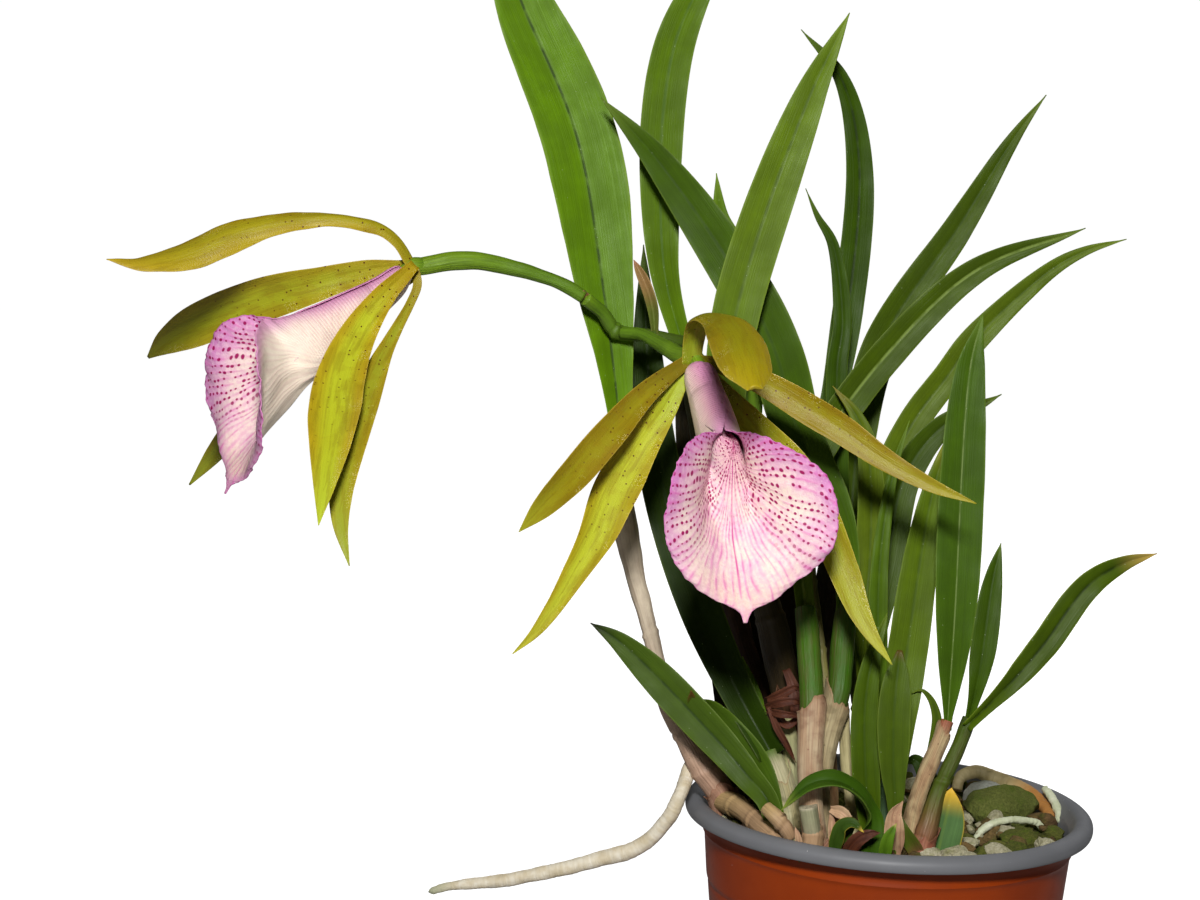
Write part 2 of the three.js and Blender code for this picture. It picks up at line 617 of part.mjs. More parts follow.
// Leaves: straps folded along the midrib, each standing just clear of the cane that bears it
const leafShape = {
  neck: 0.5, peak: 0.42, tip: 2.7, fold: 20, foldBase: 40, thick: LEAF_THICK, edge: LEAF_EDGE,
};
const leaves = [
  {
    name: "leaf_tallest_left", material: leafGreen, width: 25, neck: 0.3, peak: 0.5, face: [0.25, -1, 0],
    points: [[-85, 11.2, 194.8], [-105, 27, 287], [-123, 31, 326], [-129, 31, 342], [-136, 30, 355]],
  },
  {
    name: "leaf_tall_second", material: leafDeep, width: 14, neck: 0.45, peak: 0.5,
    points: [[-68.2, 23.2, 225.8], [-75, 26, 250], [-75, 31, 313], [-58, 30, 353]],
  },
  {
    name: "leaf_crossing", material: leafGreen, width: 17,
    points: [
      [-18, -19.6, 156.9], [-19, -17, 171], [-23, -15, 184], [-30, -11, 196], [-35, -5, 207],
      [-41, 7, 226], [-50, 15, 243], [-78, 18, 280], [-96, 15, 298],
    ],
  },
  {
    name: "leaf_large_centre", material: leafGreen, width: 14, neck: 0.5,
    points: [[-50.6, -2, 185.9], [-55, 0, 211], [-53, 2, 239], [-35, 10, 300], [-24, 12, 326]],
  },
  {
    name: "leaf_behind_centre", material: leafGreen, width: 8,
    points: [
      [-49.6, 1, 186], [-48, 14, 210], [-52, 24, 236], [-55, 30, 257], [-58, 31, 264], [-60, 31, 277],
    ],
  },
  {
    name: "leaf_hooked", material: leafDeep, width: 10,
    points: [
      [-27, 8.3, 178.8], [-25, 16, 199], [-21, 21, 217], [-17, 28, 280], [-24, 28, 307], [-37, 26, 321],
    ],
  },
  {
    name: "leaf_hooked_short", material: leafDeep, width: 7,
    points: [
      [-13, 5.2, 137.9], [-18, 7, 170], [-22, 10, 221], [-21, 12, 235], [-25, 14, 258], [-30, 14, 266],
      [-34, 13, 274],
    ],
  },
  {
    name: "leaf_right_steep", material: leafGreen, width: 12,
    points: [
      [-11.4, 8.8, 137.9], [-13, 15, 163], [-14, 22, 186], [-8, 27, 226], [14, 29, 264], [30, 29, 293],
      [38, 28, 305],
    ],
  },
  {
    name: "leaf_right_arching", material: leafGreen, width: 11,
    points: [
      [-30.2, -22.6, 154.9], [-32, -14, 171], [-31, -6, 186], [-26, -1, 200], [-7, 8, 227], [18, 13, 252],
      [50, 14, 266],
    ],
  },
  {
    name: "leaf_right_arching_low", material: leafGreen, width: 10,
    points: [
      [-9, -9.4, 126], [-9, 4, 146], [-8, 12, 169], [-4, 16, 190], [3, 18, 206], [12, 20, 219],
      [20, 21, 231], [42, 22, 253], [52, 22, 259], [64, 22, 263],
    ],
  },
  {
    name: "leaf_right_bent", material: leafDeep, width: 11,
    points: [[-7.6, -12.2, 126], [-8, -8, 146], [-5, -3, 166], [-1, 2, 190], [9, 5, 205], [27, 6, 216]],
  },
  {
    name: "leaf_upright", material: leafGreen, width: 14, neck: 0.3, peak: 0.5,
    points: [[13, -23, 123.8], [13, -24, 153], [14, -16, 225], [17, -14, 241]],
  },
  {
    name: "leaf_upright_short", material: leafDeep, width: 8,
    points: [[18.2, -30.8, 127], [20, -31, 139], [23, -26, 166], [25, -24, 176]],
  },
  {
    name: "leaf_right_low", material: leafGreen, width: 9,
    points: [
      [19.2, -33.8, 126.6], [28, -35, 137], [37, -33, 148], [50, -29, 166], [60, -26, 172],
      [70, -24, 175],
    ],
  },
  {
    name: "leaf_broad_middle", material: leafOlive, width: 11,
    points: [[-2, -18, 80], [-2, -20, 113], [1, -14, 141], [6, -8, 185], [11, -5, 206]],
  },
  {
    name: "leaf_olive_tip", material: leafOlive, width: 9,
    points: [
      [-11, -14.2, 126], [-12, -13, 150], [-11, -10, 167], [-13, -6, 199], [-17, -4, 209], [-24, -2, 217],
    ],
  },
  {
    name: "leaf_narrow_middle", material: leafGreen, width: 6,
    points: [[-8, -22, 80], [-8, -23, 130], [-9, -19, 169], [-6, -14, 194], [-2, -12, 209]],
  },
  {
    name: "leaf_front_broad", material: leafDeep, width: 8.5,
    points: [[-6, -41, 78], [-7, -41, 91], [-12, -38, 120], [-12, -35, 136], [-7, -32, 156]],
  },
  {
    name: "leaf_front_round_tip", material: leafDeep, width: 10, tip: 3,
    points: [[-3, -46, 78], [-4, -47, 108], [-5, -46, 119], [-4, -42, 147]],
  },
  {
    name: "leaf_left_low", material: leafGreen, width: 11.5, neck: 0.65, peak: 0.5,
    points: [
      [-36, -34, 92], [-39, -33, 100], [-45, -29, 106], [-54, -25, 115], [-83, -19, 141], [-92, -18, 146],
    ],
  },
  {
    name: "leaf_left_shrivelled", material: leafGreen, width: 11, neck: 0.6,
    points: [
      [-35, -28, 92], [-39, -26, 102], [-44, -20, 109], [-50, -17, 115], [-56, -18, 121], [-61, -22, 125],
      [-62, -26, 129],
    ],
  },
  {
    name: "leaf_shaded", material: leafDeep, width: 14, neck: 0.7,
    points: [
      [-38.4, -18.8, 111.9], [-49, -12, 127], [-63, 0, 151], [-74, 14, 178], [-78, 26, 201],
      [-79, 35, 228], [-81, 38, 254],
    ],
  },
  {
    name: "leaf_small_arching", material: leafGreen, width: 8.5, neck: 0.8, face: [0, -0.4, 1],
    points: [[-10, -49, 82], [-11, -49, 100], [-23, -52, 110], [-36, -51, 101]],
  },
  {
    name: "leaf_yellow", material: leafYellow, width: 8, rows: 7,
    points: [[15, -35, 78], [15, -34, 87], [15, -34, 96], [13, -34, 105]],
  },
];
for (const leaf of leaves) {
  const shape = { ...leafShape, ...leaf };
  part(leaf.name, leaf.material, (grow) => blade(shape, grow));
}

// Aerial roots: the long one hangs over the rim, the others lie on the mix
const roots = [
  {
    name: "root_hanging",
    points: [
      [-55, -5.5, 103.5], [-59, -5.5, 103.5], [-61.5, -9, 99], [-63, -13, 95], [-66.5, -13, 87],
      [-74, -11, 78], [-86, -10, 73], [-98, -9, 69], [-116, -7, 64], [-131, -5, 61], [-137, -5, 59],
    ],
    radii: [1.8, 2.1, 2.2, 2.2, 2.4, 2.3, 2.2, 2, 1.9, 1.6, 1], rows: 18,
  },
  {
    name: "root_right_thick",
    points: [
      [28, 29, 86], [29, 32, 92], [34, 35, 94], [40, 34, 93], [43, 29, 90], [47, 20.5, 88],
      [49.5, 8, 86.5],
    ],
    radii: [1.8, 1.9, 1.8, 1.8, 1.7, 1.6, 1.4],
    branch: {
      points: [[50, 19, 94], [50.3, 15.5, 91.5], [50.6, 10, 89], [49.8, 5, 87]],
      radii: [1, 1.3, 1.2, 1.1],
    },
  },
  {
    name: "root_front_pale",
    points: [[25, -12, 85], [28, -10, 88], [33, -9, 90], [38, -7, 90], [44, -5, 89], [47, -4, 86]],
    radii: [1, 1.2, 1.1, 1.1, 1, 1], rows: 7,
  },
];
for (const root of roots) {
  part(root.name, rootMaterial, (grow) => {
    const made = stem(root, grow);
    return root.branch ? made.add(stem(root.branch, grow)) : made;
  });
}

// Large mossy rock that stands above the mix
part("rock_green", rockGreen, (grow) => lump([36, 10, 88], [13, 10, 8], 11, 1, 0.3, grow));

// Potting mix: a plug that fills the liner, its top broken up by seeded pieces of bark and stone
function mixEnvelope(top) {
  const inner = (z) => wallRadius(z) - 2 * POT_WALL - 2 * GAP;
  return turned([
    [0, 2.9],
    [inner(3.6) - 1.4, 3.2],
    [inner(66) - 0.35, 66],
    [inner(top), top],
    [0, top],
  ]);
}
function pottingMix() {
  const draw = seeded(4182);
  const pieces = [
    mixEnvelope(MIX_TOP),
    lump([36, 31, 86], [10, 7, 7], 23, 1, 0.4),
    lump([37, -17, 86], [7, 6, 5.5], 37, 1, 0.2),
  ];
  const goldenAngle = Math.PI * (3 - Math.sqrt(5));
  for (let i = 0; i < MIX_LUMPS; i++) {
    const reach = 47 * Math.sqrt((i + 0.5) / MIX_LUMPS);
    const a = i * goldenAngle + 0.4 * draw();
    const size = 4 + 4 * draw();
    pieces.push(
      lump(
        [reach * Math.cos(a), reach * Math.sin(a), MIX_TOP - 1.2 + 1.4 * draw()],
        [size, size * (0.6 + 0.3 * draw()), size * (0.45 + 0.25 * draw())],
        100 + i,
        0,
        2 * Math.PI * draw(),
      ),
    );
  }
  return wasm.Manifold.union(pieces).intersect(mixEnvelope(WALL_TOP + GAP));
}
part("potting_mix", mixMaterial, pottingMix);

// Every later part gives way to the earlier ones it would run into, and keeps its largest body
function largest(solid) {
  return solid.decompose().sort((a, b) => b.volume() - a.volume())[0];
}
function boxesMeet(a, b) {
  const p = a.boundingBox();
  const q = b.boundingBox();
  return [0, 1, 2].every((i) => p.min[i] <= q.max[i] && q.min[i] <= p.max[i]);
}
const group = new THREE.Group();
parts.forEach((later, i) => {
  let solid = later.solid;
  const before = solid.volume();
  if (later.gives) {
    for (const earlier of parts.slice(0, i)) {
      if (!boxesMeet(earlier.grown, solid)) continue;
      if (solid.intersect(earlier.grown).volume() < 1e-5) continue;
      solid = largest(solid.subtract(earlier.grown));
    }
  }
  later.lost = before - solid.volume();
  const made = solid.getMesh();
  const geometry = new THREE.BufferGeometry();
  const spots = new Float32Array(made.numVert * 3);
  for (let v = 0; v < made.numVert; v++) {
    for (let c = 0; c < 3; c++) spots[v * 3 + c] = made.vertProperties[v * made.numProp + c];
  }
  geometry.setAttribute("position", new THREE.BufferAttribute(spots, 3));
  geometry.setIndex(new THREE.BufferAttribute(made.triVerts, 1));
  geometry.computeVertexNormals();
  const mesh = new THREE.Mesh(geometry, later.material);
  mesh.name = later.name;
  mesh.userData.lost = later.lost;
  group.add(mesh);
});

export default group;
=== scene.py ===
import math

import bmesh
import bpy
import numpy as np
from mathutils import Matrix


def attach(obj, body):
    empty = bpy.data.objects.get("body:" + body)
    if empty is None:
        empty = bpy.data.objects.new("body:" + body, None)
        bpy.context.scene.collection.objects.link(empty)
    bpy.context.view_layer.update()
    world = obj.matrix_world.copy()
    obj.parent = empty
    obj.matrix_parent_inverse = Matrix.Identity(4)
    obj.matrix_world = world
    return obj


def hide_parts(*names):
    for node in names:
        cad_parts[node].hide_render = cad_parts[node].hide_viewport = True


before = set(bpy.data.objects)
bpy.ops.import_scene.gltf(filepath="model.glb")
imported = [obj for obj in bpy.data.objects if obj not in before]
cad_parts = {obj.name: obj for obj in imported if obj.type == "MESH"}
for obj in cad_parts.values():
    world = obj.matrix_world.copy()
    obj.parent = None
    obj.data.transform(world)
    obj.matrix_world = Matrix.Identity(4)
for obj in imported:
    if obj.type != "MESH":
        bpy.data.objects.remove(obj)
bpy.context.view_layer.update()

# Outer layer of the pot: rust-brown plastic sheet, vacuum-formed over a mould that leaves a groove
# and a ring round the wall, with six drain holes punched in its flat base. Sizes are millimetres.
MM = 0.001
WALL_TOP = 87.3
POT_FOOT_RADIUS = 45.5
POT_TOP_RADIUS = 55.6
POT_WALL = 0.8
LAYER_GAP = 0.3
DRAIN_RADIUS = 4.5
DRAIN_CIRCLE = 27
DRAIN_COUNT = 6
DRAIN_TURN = 0.3
RING_HEIGHT = 82
GROOVE_HEIGHT = 66
POT_SIDES = 192


def full_turn(count):
    return np.linspace(0, 2 * math.pi, count, endpoint=False)


def clamp(value):
    return np.clip(value, 0, 1)


def run_along(points):
    """How far along a line each of its points lies."""
    return np.concatenate([[0], np.cumsum(np.linalg.norm(np.diff(points, axis=0), axis=1))])


def wall_radius(height):
    return POT_FOOT_RADIUS + (POT_TOP_RADIUS - POT_FOOT_RADIUS) * height / WALL_TOP


def screen(red, green, blue):
    """A colour as a screen shows it, 0 to 255, turned into the linear light that a shader takes."""
    shown = (red, green, blue)
    return (*[c / 255 / 12.92 if c < 11 else ((c / 255 + 0.055) / 1.055) ** 2.4 for c in shown], 1)


class Value:
    """What a node gives out. Sums and products with it add their own nodes to its tree."""

    def __init__(self, socket):
        self.socket = socket
        self.tree = socket.id_data

    def __add__(self, other):
        return calc("ADD", self, other)

    def __sub__(self, other):
        return calc("SUBTRACT", self, other)

    def __rsub__(self, other):
        return calc("SUBTRACT", other, self)

    def __mul__(self, other):
        return calc("MULTIPLY", self, other)

    def __truediv__(self, other):
        return calc("DIVIDE", self, other)

    def __rtruediv__(self, other):
        return calc("DIVIDE", other, self)

    def __pow__(self, other):
        return calc("POWER", self, other)

    def __abs__(self):
        return calc("ABSOLUTE", self)


def lead(value, socket):
    value.tree.links.new(value.socket, socket)


def add_node(tree, kind, sockets=None, **settings):
    """Adds a node with its inputs set or fed, and returns its outputs by name and by number."""
    node = tree.nodes.new(kind)
    for key, value in settings.items():
        setattr(node, key, value)
    for key, value in (sockets or {}).items():
        if isinstance(value, Value):
            lead(value, node.inputs[key])
        else:
            node.inputs[key].default_value = value
    outputs = {socket.name: Value(socket) for socket in node.outputs}
    outputs.update((k, Value(socket)) for k, socket in enumerate(node.outputs))
    return outputs


def calc(operation, *values, use_clamp=False):
    tree = next(value.tree for value in values if isinstance(value, Value))
    sockets = dict(enumerate(values))
    return add_node(tree, "ShaderNodeMath", sockets, operation=operation, use_clamp=use_clamp)[0]


def scaled(value, by, plus):
    return calc("MULTIPLY_ADD", value, by, plus)


def tint(share, *colours):
    """First colour where the share is 0, second where it is 1; three numbers are a screen's colour."""
    plain = [screen(*c) if isinstance(c, tuple) and len(c) == 3 else c for c in colours]
    return add_node(share.tree, "ShaderNodeMix", {0: share, 6: plain[0], 7: plain[1]}, data_type="RGBA")[2]


def ease(value, low, high, to_low=0.0, to_high=1.0):
    """A smooth rise from to_low, where the value is low, to to_high, where it is high."""
    sockets = {0: value, 1: low, 2: high, 3: to_low, 4: to_high}
    return add_node(value.tree, "ShaderNodeMapRange", sockets, interpolation_type="SMOOTHSTEP")[0]


def new_group(name, inputs, outputs):
    """An empty node group with these named inputs and outputs, and the nodes that hold them."""
    group = bpy.data.node_groups.new(name, "ShaderNodeTree")
    for label, kind in inputs.items():
        group.interface.new_socket(label, in_out="INPUT", socket_type="NodeSocket" + kind)
    for label, kind in outputs.items():
        group.interface.new_socket(label, in_out="OUTPUT", socket_type="NodeSocket" + kind)
    return group, add_node(group, "NodeGroupInput"), group.nodes.new("NodeGroupOutput").inputs


def placed(group, *values):
    """Places a group on values in the order of its inputs, and returns its outputs."""
    return add_node(values[0].tree, "ShaderNodeGroup", dict(enumerate(values)), node_tree=group)


def new_finish(name, roughness, gloss):
    """A material with its node tree and its Principled shader, which gets the roughness and gloss."""
    material = bpy.data.materials.new(name.replace("_", " "))
    material.use_nodes = True
    shader = material.node_tree.nodes["Principled BSDF"]
    shader.inputs["Roughness"].default_value = roughness
    shader.inputs["Specular IOR Level"].default_value = gloss
    return material, material.node_tree, shader


def surface_place(tree):
    """Where a point lies on the object, in millimetres."""
    spot = add_node(tree, "ShaderNodeTexCoord")["Object"]
    return add_node(tree, "ShaderNodeVectorMath", {0: spot, 3: 1 / MM}, operation="SCALE")[0]


def feed(shader, colour, roughness, height, depth, strength):
    """Joins a finish's colour, roughness and relief to its shader; depth is in millimetres."""
    lead(colour, shader.inputs["Base Color"])
    lead(roughness, shader.inputs["Roughness"])
    sockets = {"Height": height, "Distance": depth * MM, "Strength": strength}
    lead(add_node(colour.tree, "ShaderNodeBump", sockets)["Normal"], shader.inputs["Normal"])


def patches_group():
    """Soft patches of a size in millimetres, as 0 to 1."""
    group, given, out = new_group(
        "soft patches", {"Place": "Vector", "Size": "Float"}, {"Patches": "Float"}
    )
    scale = 1.0 / given["Size"]
    spot = add_node(group, "ShaderNodeVectorMath", {0: given["Place"], 3: scale}, operation="SCALE")[0]
    noise = add_node(group, "ShaderNodeTexNoise", {"Vector": spot, "Scale": 1.0, "Detail": 3.0})[0]
    lead(ease(noise, 0.3, 0.7), out["Patches"])
    return group


def specks_group(name, dimensions):
    """Small round specks: a share of the cells of a size holds one, of a radius given in cells."""
    inputs = {"Place": "Vector", "Cell": "Float", "Share": "Float", "Radius": "Float"}
    group, given, out = new_group(name, inputs, {"Specks": "Float"})
    scale = 1.0 / given["Cell"]
    spot = add_node(group, "ShaderNodeVectorMath", {0: given["Place"], 3: scale}, operation="SCALE")[0]
    cells = add_node(
        group, "ShaderNodeTexVoronoi", {"Vector": spot, "Scale": 1.0}, voronoi_dimensions=dimensions
    )
    draw = add_node(group, "ShaderNodeSeparateColor", {0: cells["Color"]})[0]
    held = calc("LESS_THAN", draw, given["Share"])
    near = ease(cells["Distance"], given["Radius"], given["Radius"] * 0.5)
    lead(held * near, out["Specks"])
    return group


patch_nodes = patches_group()
speck_nodes = specks_group("specks", "3D")


def patches(place, size):
    return placed(patch_nodes, place, size)[0]


def specks(place, cell, share, radius):
    return placed(speck_nodes, place, cell, share, radius)[0]


def tube_mesh(rings, lie=None, share=None):
    """A closed skin over round rings, with a fan at each end, and the marks of its points."""
    rows, sides = rings.shape[:2]
    ends = np.stack([rings[0].mean(0), rings[-1].mean(0)])
    first = np.arange((rows - 1) * sides).reshape(rows - 1, sides)
    beside = np.roll(first, -1, 1)
    quads = np.stack([first, beside, beside + sides, first + sides], -1).reshape(-1, 4).tolist()
    start, stop = rows * sides, rows * sides + 1
    turn = [(k, (k + 1) % sides) for k in range(sides)]
    caps = [(b, a, start) for a, b in turn]
    caps += [(a + (rows - 1) * sides, b + (rows - 1) * sides, stop) for a, b in turn]
    made = {"points": np.vstack([rings.reshape(-1, 3), ends]), "faces": quads + caps}
    for mark, values in (("lie", lie), ("share", share)):
        values = np.zeros_like(rings) if values is None else values
        tips = np.stack([values[0].mean(0), values[-1].mean(0)])
        made[mark] = np.vstack([values.reshape(-1, 3), tips])
    return outward(made)


def outward(made):
    """The same skin with its faces pointing out."""
    points = made["points"]
    volume = 0.0
    for size in (3, 4):
        faces = np.array([f for f in made["faces"] if len(f) == size], int).reshape(-1, size)
        for k in range(1, size - 1):
            a, b, c = points[faces[:, 0]], points[faces[:, k]], points[faces[:, k + 1]]
            volume += np.einsum("ij,ij->", a, np.cross(b, c))
    if volume < 0:
        made["faces"] = [tuple(reversed(f)) for f in made["faces"]]
    return made


def joined(pieces):
    """Several skins as one."""
    made = {key: np.vstack([p[key] for p in pieces]) for key in ("points", "lie", "share")}
    faces = []
    start = 0
    for piece in pieces:
        faces += [tuple(v + start for v in face) for face in piece["faces"]]
        start += len(piece["points"])
    made["faces"] = faces
    return made


def skin_mesh(name, made):
    """The mesh of a skin that is given in millimetres."""
    mesh = bpy.data.meshes.new(name)
    mesh.from_pydata((made["points"] * MM).tolist(), [], made["faces"])
    return mesh


def placed_object(name, data):
    thing = bpy.data.objects.new(name, data)
    bpy.context.scene.collection.objects.link(thing)
    return thing


def show(name, made, material, slot, *nodes, crease=None):
    """Makes the piece's object from its skin, and places it in the frame."""
    mesh = skin_mesh(name, made)
    for mark in ("lie", "share"):
        mesh.attributes.new(mark, "FLOAT_VECTOR", "POINT").data.foreach_set("vector", made[mark].ravel())
    mesh.polygons.foreach_set("use_smooth", np.ones(len(mesh.polygons), bool))
    if crease:
        mesh.set_sharp_from_angle(angle=math.radians(crease))
    mesh.materials.append(material)
    piece = placed_object(name.replace(" ", "_"), mesh)
    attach(piece, "root")
    if nodes:
        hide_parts(*nodes)
    return piece


def grid(*parts):
    """Vectors from their three parts, each of which fills the grid's rows or columns."""
    return np.stack(np.broadcast_arrays(*parts), -1)


def spun(profile, wave=0.0):
    """A skin turned about the pot's axis from radius and height pairs, with a slight wave."""
    profile = np.array(profile, float)
    turn = full_turn(POT_SIDES)[None, :]
    radius = profile[:, :1] * np.ones_like(turn)
    height = profile[:, 1:] * np.ones_like(turn)
    fade = clamp(height / 30) * (radius > 30)
    swell = np.sin(3 * turn) + 0.6 * np.sin(5 * turn + 0.05 * height)
    swell = swell + 0.4 * np.sin(11 * turn + 0.1 * height)
    radius = radius + wave * fade * swell
    rings = grid(radius * np.cos(turn), radius * np.sin(turn), height)
    return tube_mesh(rings, grid(50 * np.cos(turn), 50 * np.sin(turn), height))


def drill_drains(piece):
    """Cuts the drain holes out of a pot layer's base."""
    pins = []
    turn = full_turn(24)
    for k in range(DRAIN_COUNT):
        a = 2 * math.pi * k / DRAIN_COUNT + DRAIN_TURN
        across = DRAIN_CIRCLE * math.cos(a) + DRAIN_RADIUS * np.cos(turn)
        along = DRAIN_CIRCLE * math.sin(a) + DRAIN_RADIUS * np.sin(turn)
        pins.append(tube_mesh(grid(across, along, np.array([[-5.0], [8.0]]))))
    cutter = placed_object("drain cutter", skin_mesh("drain cutter", joined(pins)))
    cut = piece.modifiers.new("drains", "BOOLEAN")
    cut.operation = "DIFFERENCE"
    cut.solver = "EXACT"
    cut.object = cutter
    bpy.context.view_layer.update()
    drilled = bpy.data.meshes.new_from_object(piece.evaluated_get(bpy.context.evaluated_depsgraph_get()))
    piece.modifiers.clear()
    piece.data = drilled
    bpy.data.objects.remove(cutter)


def plastic_finish(name, colour, worn, roughness, dust, gloss=0.45):
    """Formed plastic: faint flow patches, fine grain, and white dust specks."""
    material, tree, shader = new_finish(name, roughness, gloss)
    place = surface_place(tree)
    flow = patches(place, 18.0)
    fine = patches(place, 0.5)
    dots = specks(place, 1.9, dust, 0.085)
    base = tint(flow * 0.55, colour, worn)
    base = tint(dots, base, (225, 222, 215))
    rough = scaled(flow, 0.1, roughness - 0.04) + dots * 0.3
    feed(shader, base, rough, fine + dots, 0.02, 0.35)
    return material


brown_plastic = plastic_finish("brown plastic", (146, 54, 6), (128, 44, 5), 0.45, 0.03, 0.2)


def brown_wall():
    """Profile of the wall from its foot up: radius and height."""
    line = []
    for height in np.linspace(2.5, WALL_TOP, 110):
        ring = 0.5 * math.exp(-(((height - RING_HEIGHT) / 0.75) ** 2))
        groove = 0.55 * math.exp(-(((height - GROOVE_HEIGHT) / 0.6) ** 2))
        step = 0.3 / (1 + math.exp(-(height - 66.6) / 0.35)) * max(0, 1 - (height - 66.6) / 14)
        line.append((wall_radius(height) + ring - groove + step, height))
    return line


outer_profile = [
    (0.02, 0), (20, 0),
    (POT_FOOT_RADIUS - 1.8, 0), (POT_FOOT_RADIUS - 0.7, 0.25), (POT_FOOT_RADIUS - 0.1, 0.9),
    *brown_wall(), (wall_radius(WALL_TOP) - POT_WALL, WALL_TOP),
    (wall_radius(GROOVE_HEIGHT) - POT_WALL - 0.6, GROOVE_HEIGHT),
    (wall_radius(1.5) - POT_WALL - 0.6, 1.6), (20, 1.2), (0.02, 1.2),
]
pot = show("pot wall", spun(outer_profile, 0.09), brown_plastic, "brown_plastic", "pot_outer", crease=40)
drill_drains(pot)

# Inner layer of the pot: grey plastic of the same thickness, formed together with the brown one.
# It is rolled outward over the brown wall's edge, and that roll is the lip that the hand holds.
LIP_RADIUS = 61
POT_HEIGHT = 92


def catmull(points, at):
    """Points of a centripetal curve through given points, at places counted in its stretches."""
    points = np.array(points, float)
    whole = np.vstack([2 * points[0] - points[1], points, 2 * points[-1] - points[-2]])
    at = np.asarray(at, float)
    k = np.clip(at.astype(int), 0, len(points) - 2)
    w = (at - k)[:, None]
    p0, p1, p2, p3 = whole[k], whole[k + 1], whole[k + 2], whole[k + 3]
    d0, d1, d2 = (np.sqrt(np.linalg.norm(b - a, axis=1))[:, None] for a, b in ((p0, p1), (p1, p2), (p2, p3)))
    m1 = ((p1 - p0) / d0 - (p2 - p0) / (d0 + d1) + (p2 - p1) / d1) * d1
    m2 = ((p2 - p1) / d1 - (p3 - p1) / (d1 + d2) + (p3 - p2) / d2) * d1
    bend = (2 * p1 - 2 * p2 + m1 + m2) * w ** 3 + (-3 * p1 + 3 * p2 - 2 * m1 - m2) * w ** 2
    return bend + m1 * w + p1


def even_path(points, rows):
    """Points evenly spaced along the curve, its directions there, and how far along each one is."""
    fine = catmull(points, np.linspace(0, len(points) - 1, 60 * (len(points) - 1) + 1))
    run = run_along(fine)
    at = np.linspace(0, run[-1], rows + 1)
    path = np.stack([np.interp(at, run, fine[:, c]) for c in range(fine.shape[1])], -1)
    ahead = np.gradient(path, axis=0)
    return path, ahead / np.linalg.norm(ahead, axis=1, keepdims=True), at


grey_plastic = plastic_finish("grey plastic", (114, 115, 118), (101, 102, 105), 0.5, 0.2)


def liner_profile():
    """Profile of the inner layer up its outside, over the rolled lip and down its inside."""
    outer = lambda z: wall_radius(z) - POT_WALL - LAYER_GAP
    inner = lambda z: outer(z) - POT_WALL
    top = WALL_TOP + LAYER_GAP
    roll = [
        (outer(top), top), (outer(top) + 0.9, top + 2), (56.9, POT_HEIGHT - 1.3), (58.5, POT_HEIGHT - 1.1),
        (59.8, POT_HEIGHT - 2), (60.1, POT_HEIGHT - 3.4), (59.7, POT_HEIGHT - 4.4), (60.5, POT_HEIGHT - 4.6),
        (LIP_RADIUS, POT_HEIGHT - 3.4), (LIP_RADIUS - 0.3, POT_HEIGHT - 1.6), (59.2, POT_HEIGHT - 0.3),
        (57.6, POT_HEIGHT), (56, POT_HEIGHT - 0.7), (54.9, POT_HEIGHT - 2.4), (inner(top), top),
    ]
    rolled = catmull(roll, np.linspace(0, len(roll) - 1, 64))
    rolled[:, 0] = np.minimum(rolled[:, 0], LIP_RADIUS)
    rolled[:, 1] = np.minimum(rolled[:, 1], POT_HEIGHT)
    return [
        (0.02, 1.6), (20, 1.7), (outer(2) - 1.1, 1.9), (outer(GROOVE_HEIGHT) - 0.35, GROOVE_HEIGHT),
        *rolled.tolist(),
        (inner(GROOVE_HEIGHT) - 0.35, GROOVE_HEIGHT), (inner(3.2) - 1, 2.7), (20, 2.5), (0.02, 2.4),
    ]


liner = show(
    "pot liner and lip", spun(liner_profile()), grey_plastic, "grey_plastic", "pot_liner_rim", crease=50
)
drill_drains(liner)

# Potting mix: chunks of bark, pale stones, moss and old husks on a plug of finer mix. It is packed
# round the roots by hand, so its top is broken, with the larger bits at the surface.
MIX_TOP = 86
MIX_LUMPS = 30
MIX_CRUMBS = 190
LUMP_REACH = 47
CRUMB_REACH = 51.5
GOLDEN_ANGLE = math.pi * (3 - math.sqrt(5))


def seeded(seed):
    """Draws from 0 to 1 that are the same on every run."""
    state = seed
    while True:
        state = state * 16807 % 2147483647
        yield state / 2147483647


def waves(points, size, seed, count=10):
    """A smooth uneven height over points, about -1 to 1, with swells of a given size."""
    draw = np.random.default_rng(seed)
    total = np.zeros(points.shape[:-1])
    for _ in range(count):
        way = draw.normal(size=3)
        way *= 2 * math.pi / size / np.linalg.norm(way) * draw.uniform(0.6, 1.5)
        total += np.sin(points @ way + draw.uniform(0, 2 * math.pi))
    return total / math.sqrt(count) * 0.9


def ball_points(detail):
    bm_mesh = bpy.data.meshes.new("ball")
    work = bmesh.new()
    bmesh.ops.create_icosphere(work, subdivisions=detail, radius=1)
    work.to_mesh(bm_mesh)
    work.free()
    points = np.array([v.co for v in bm_mesh.vertices], float)
    faces = [tuple(p.vertices) for p in bm_mesh.polygons]
    bpy.data.meshes.remove(bm_mesh)
    return points, faces


balls = {detail: ball_points(detail) for detail in (2, 3, 4)}


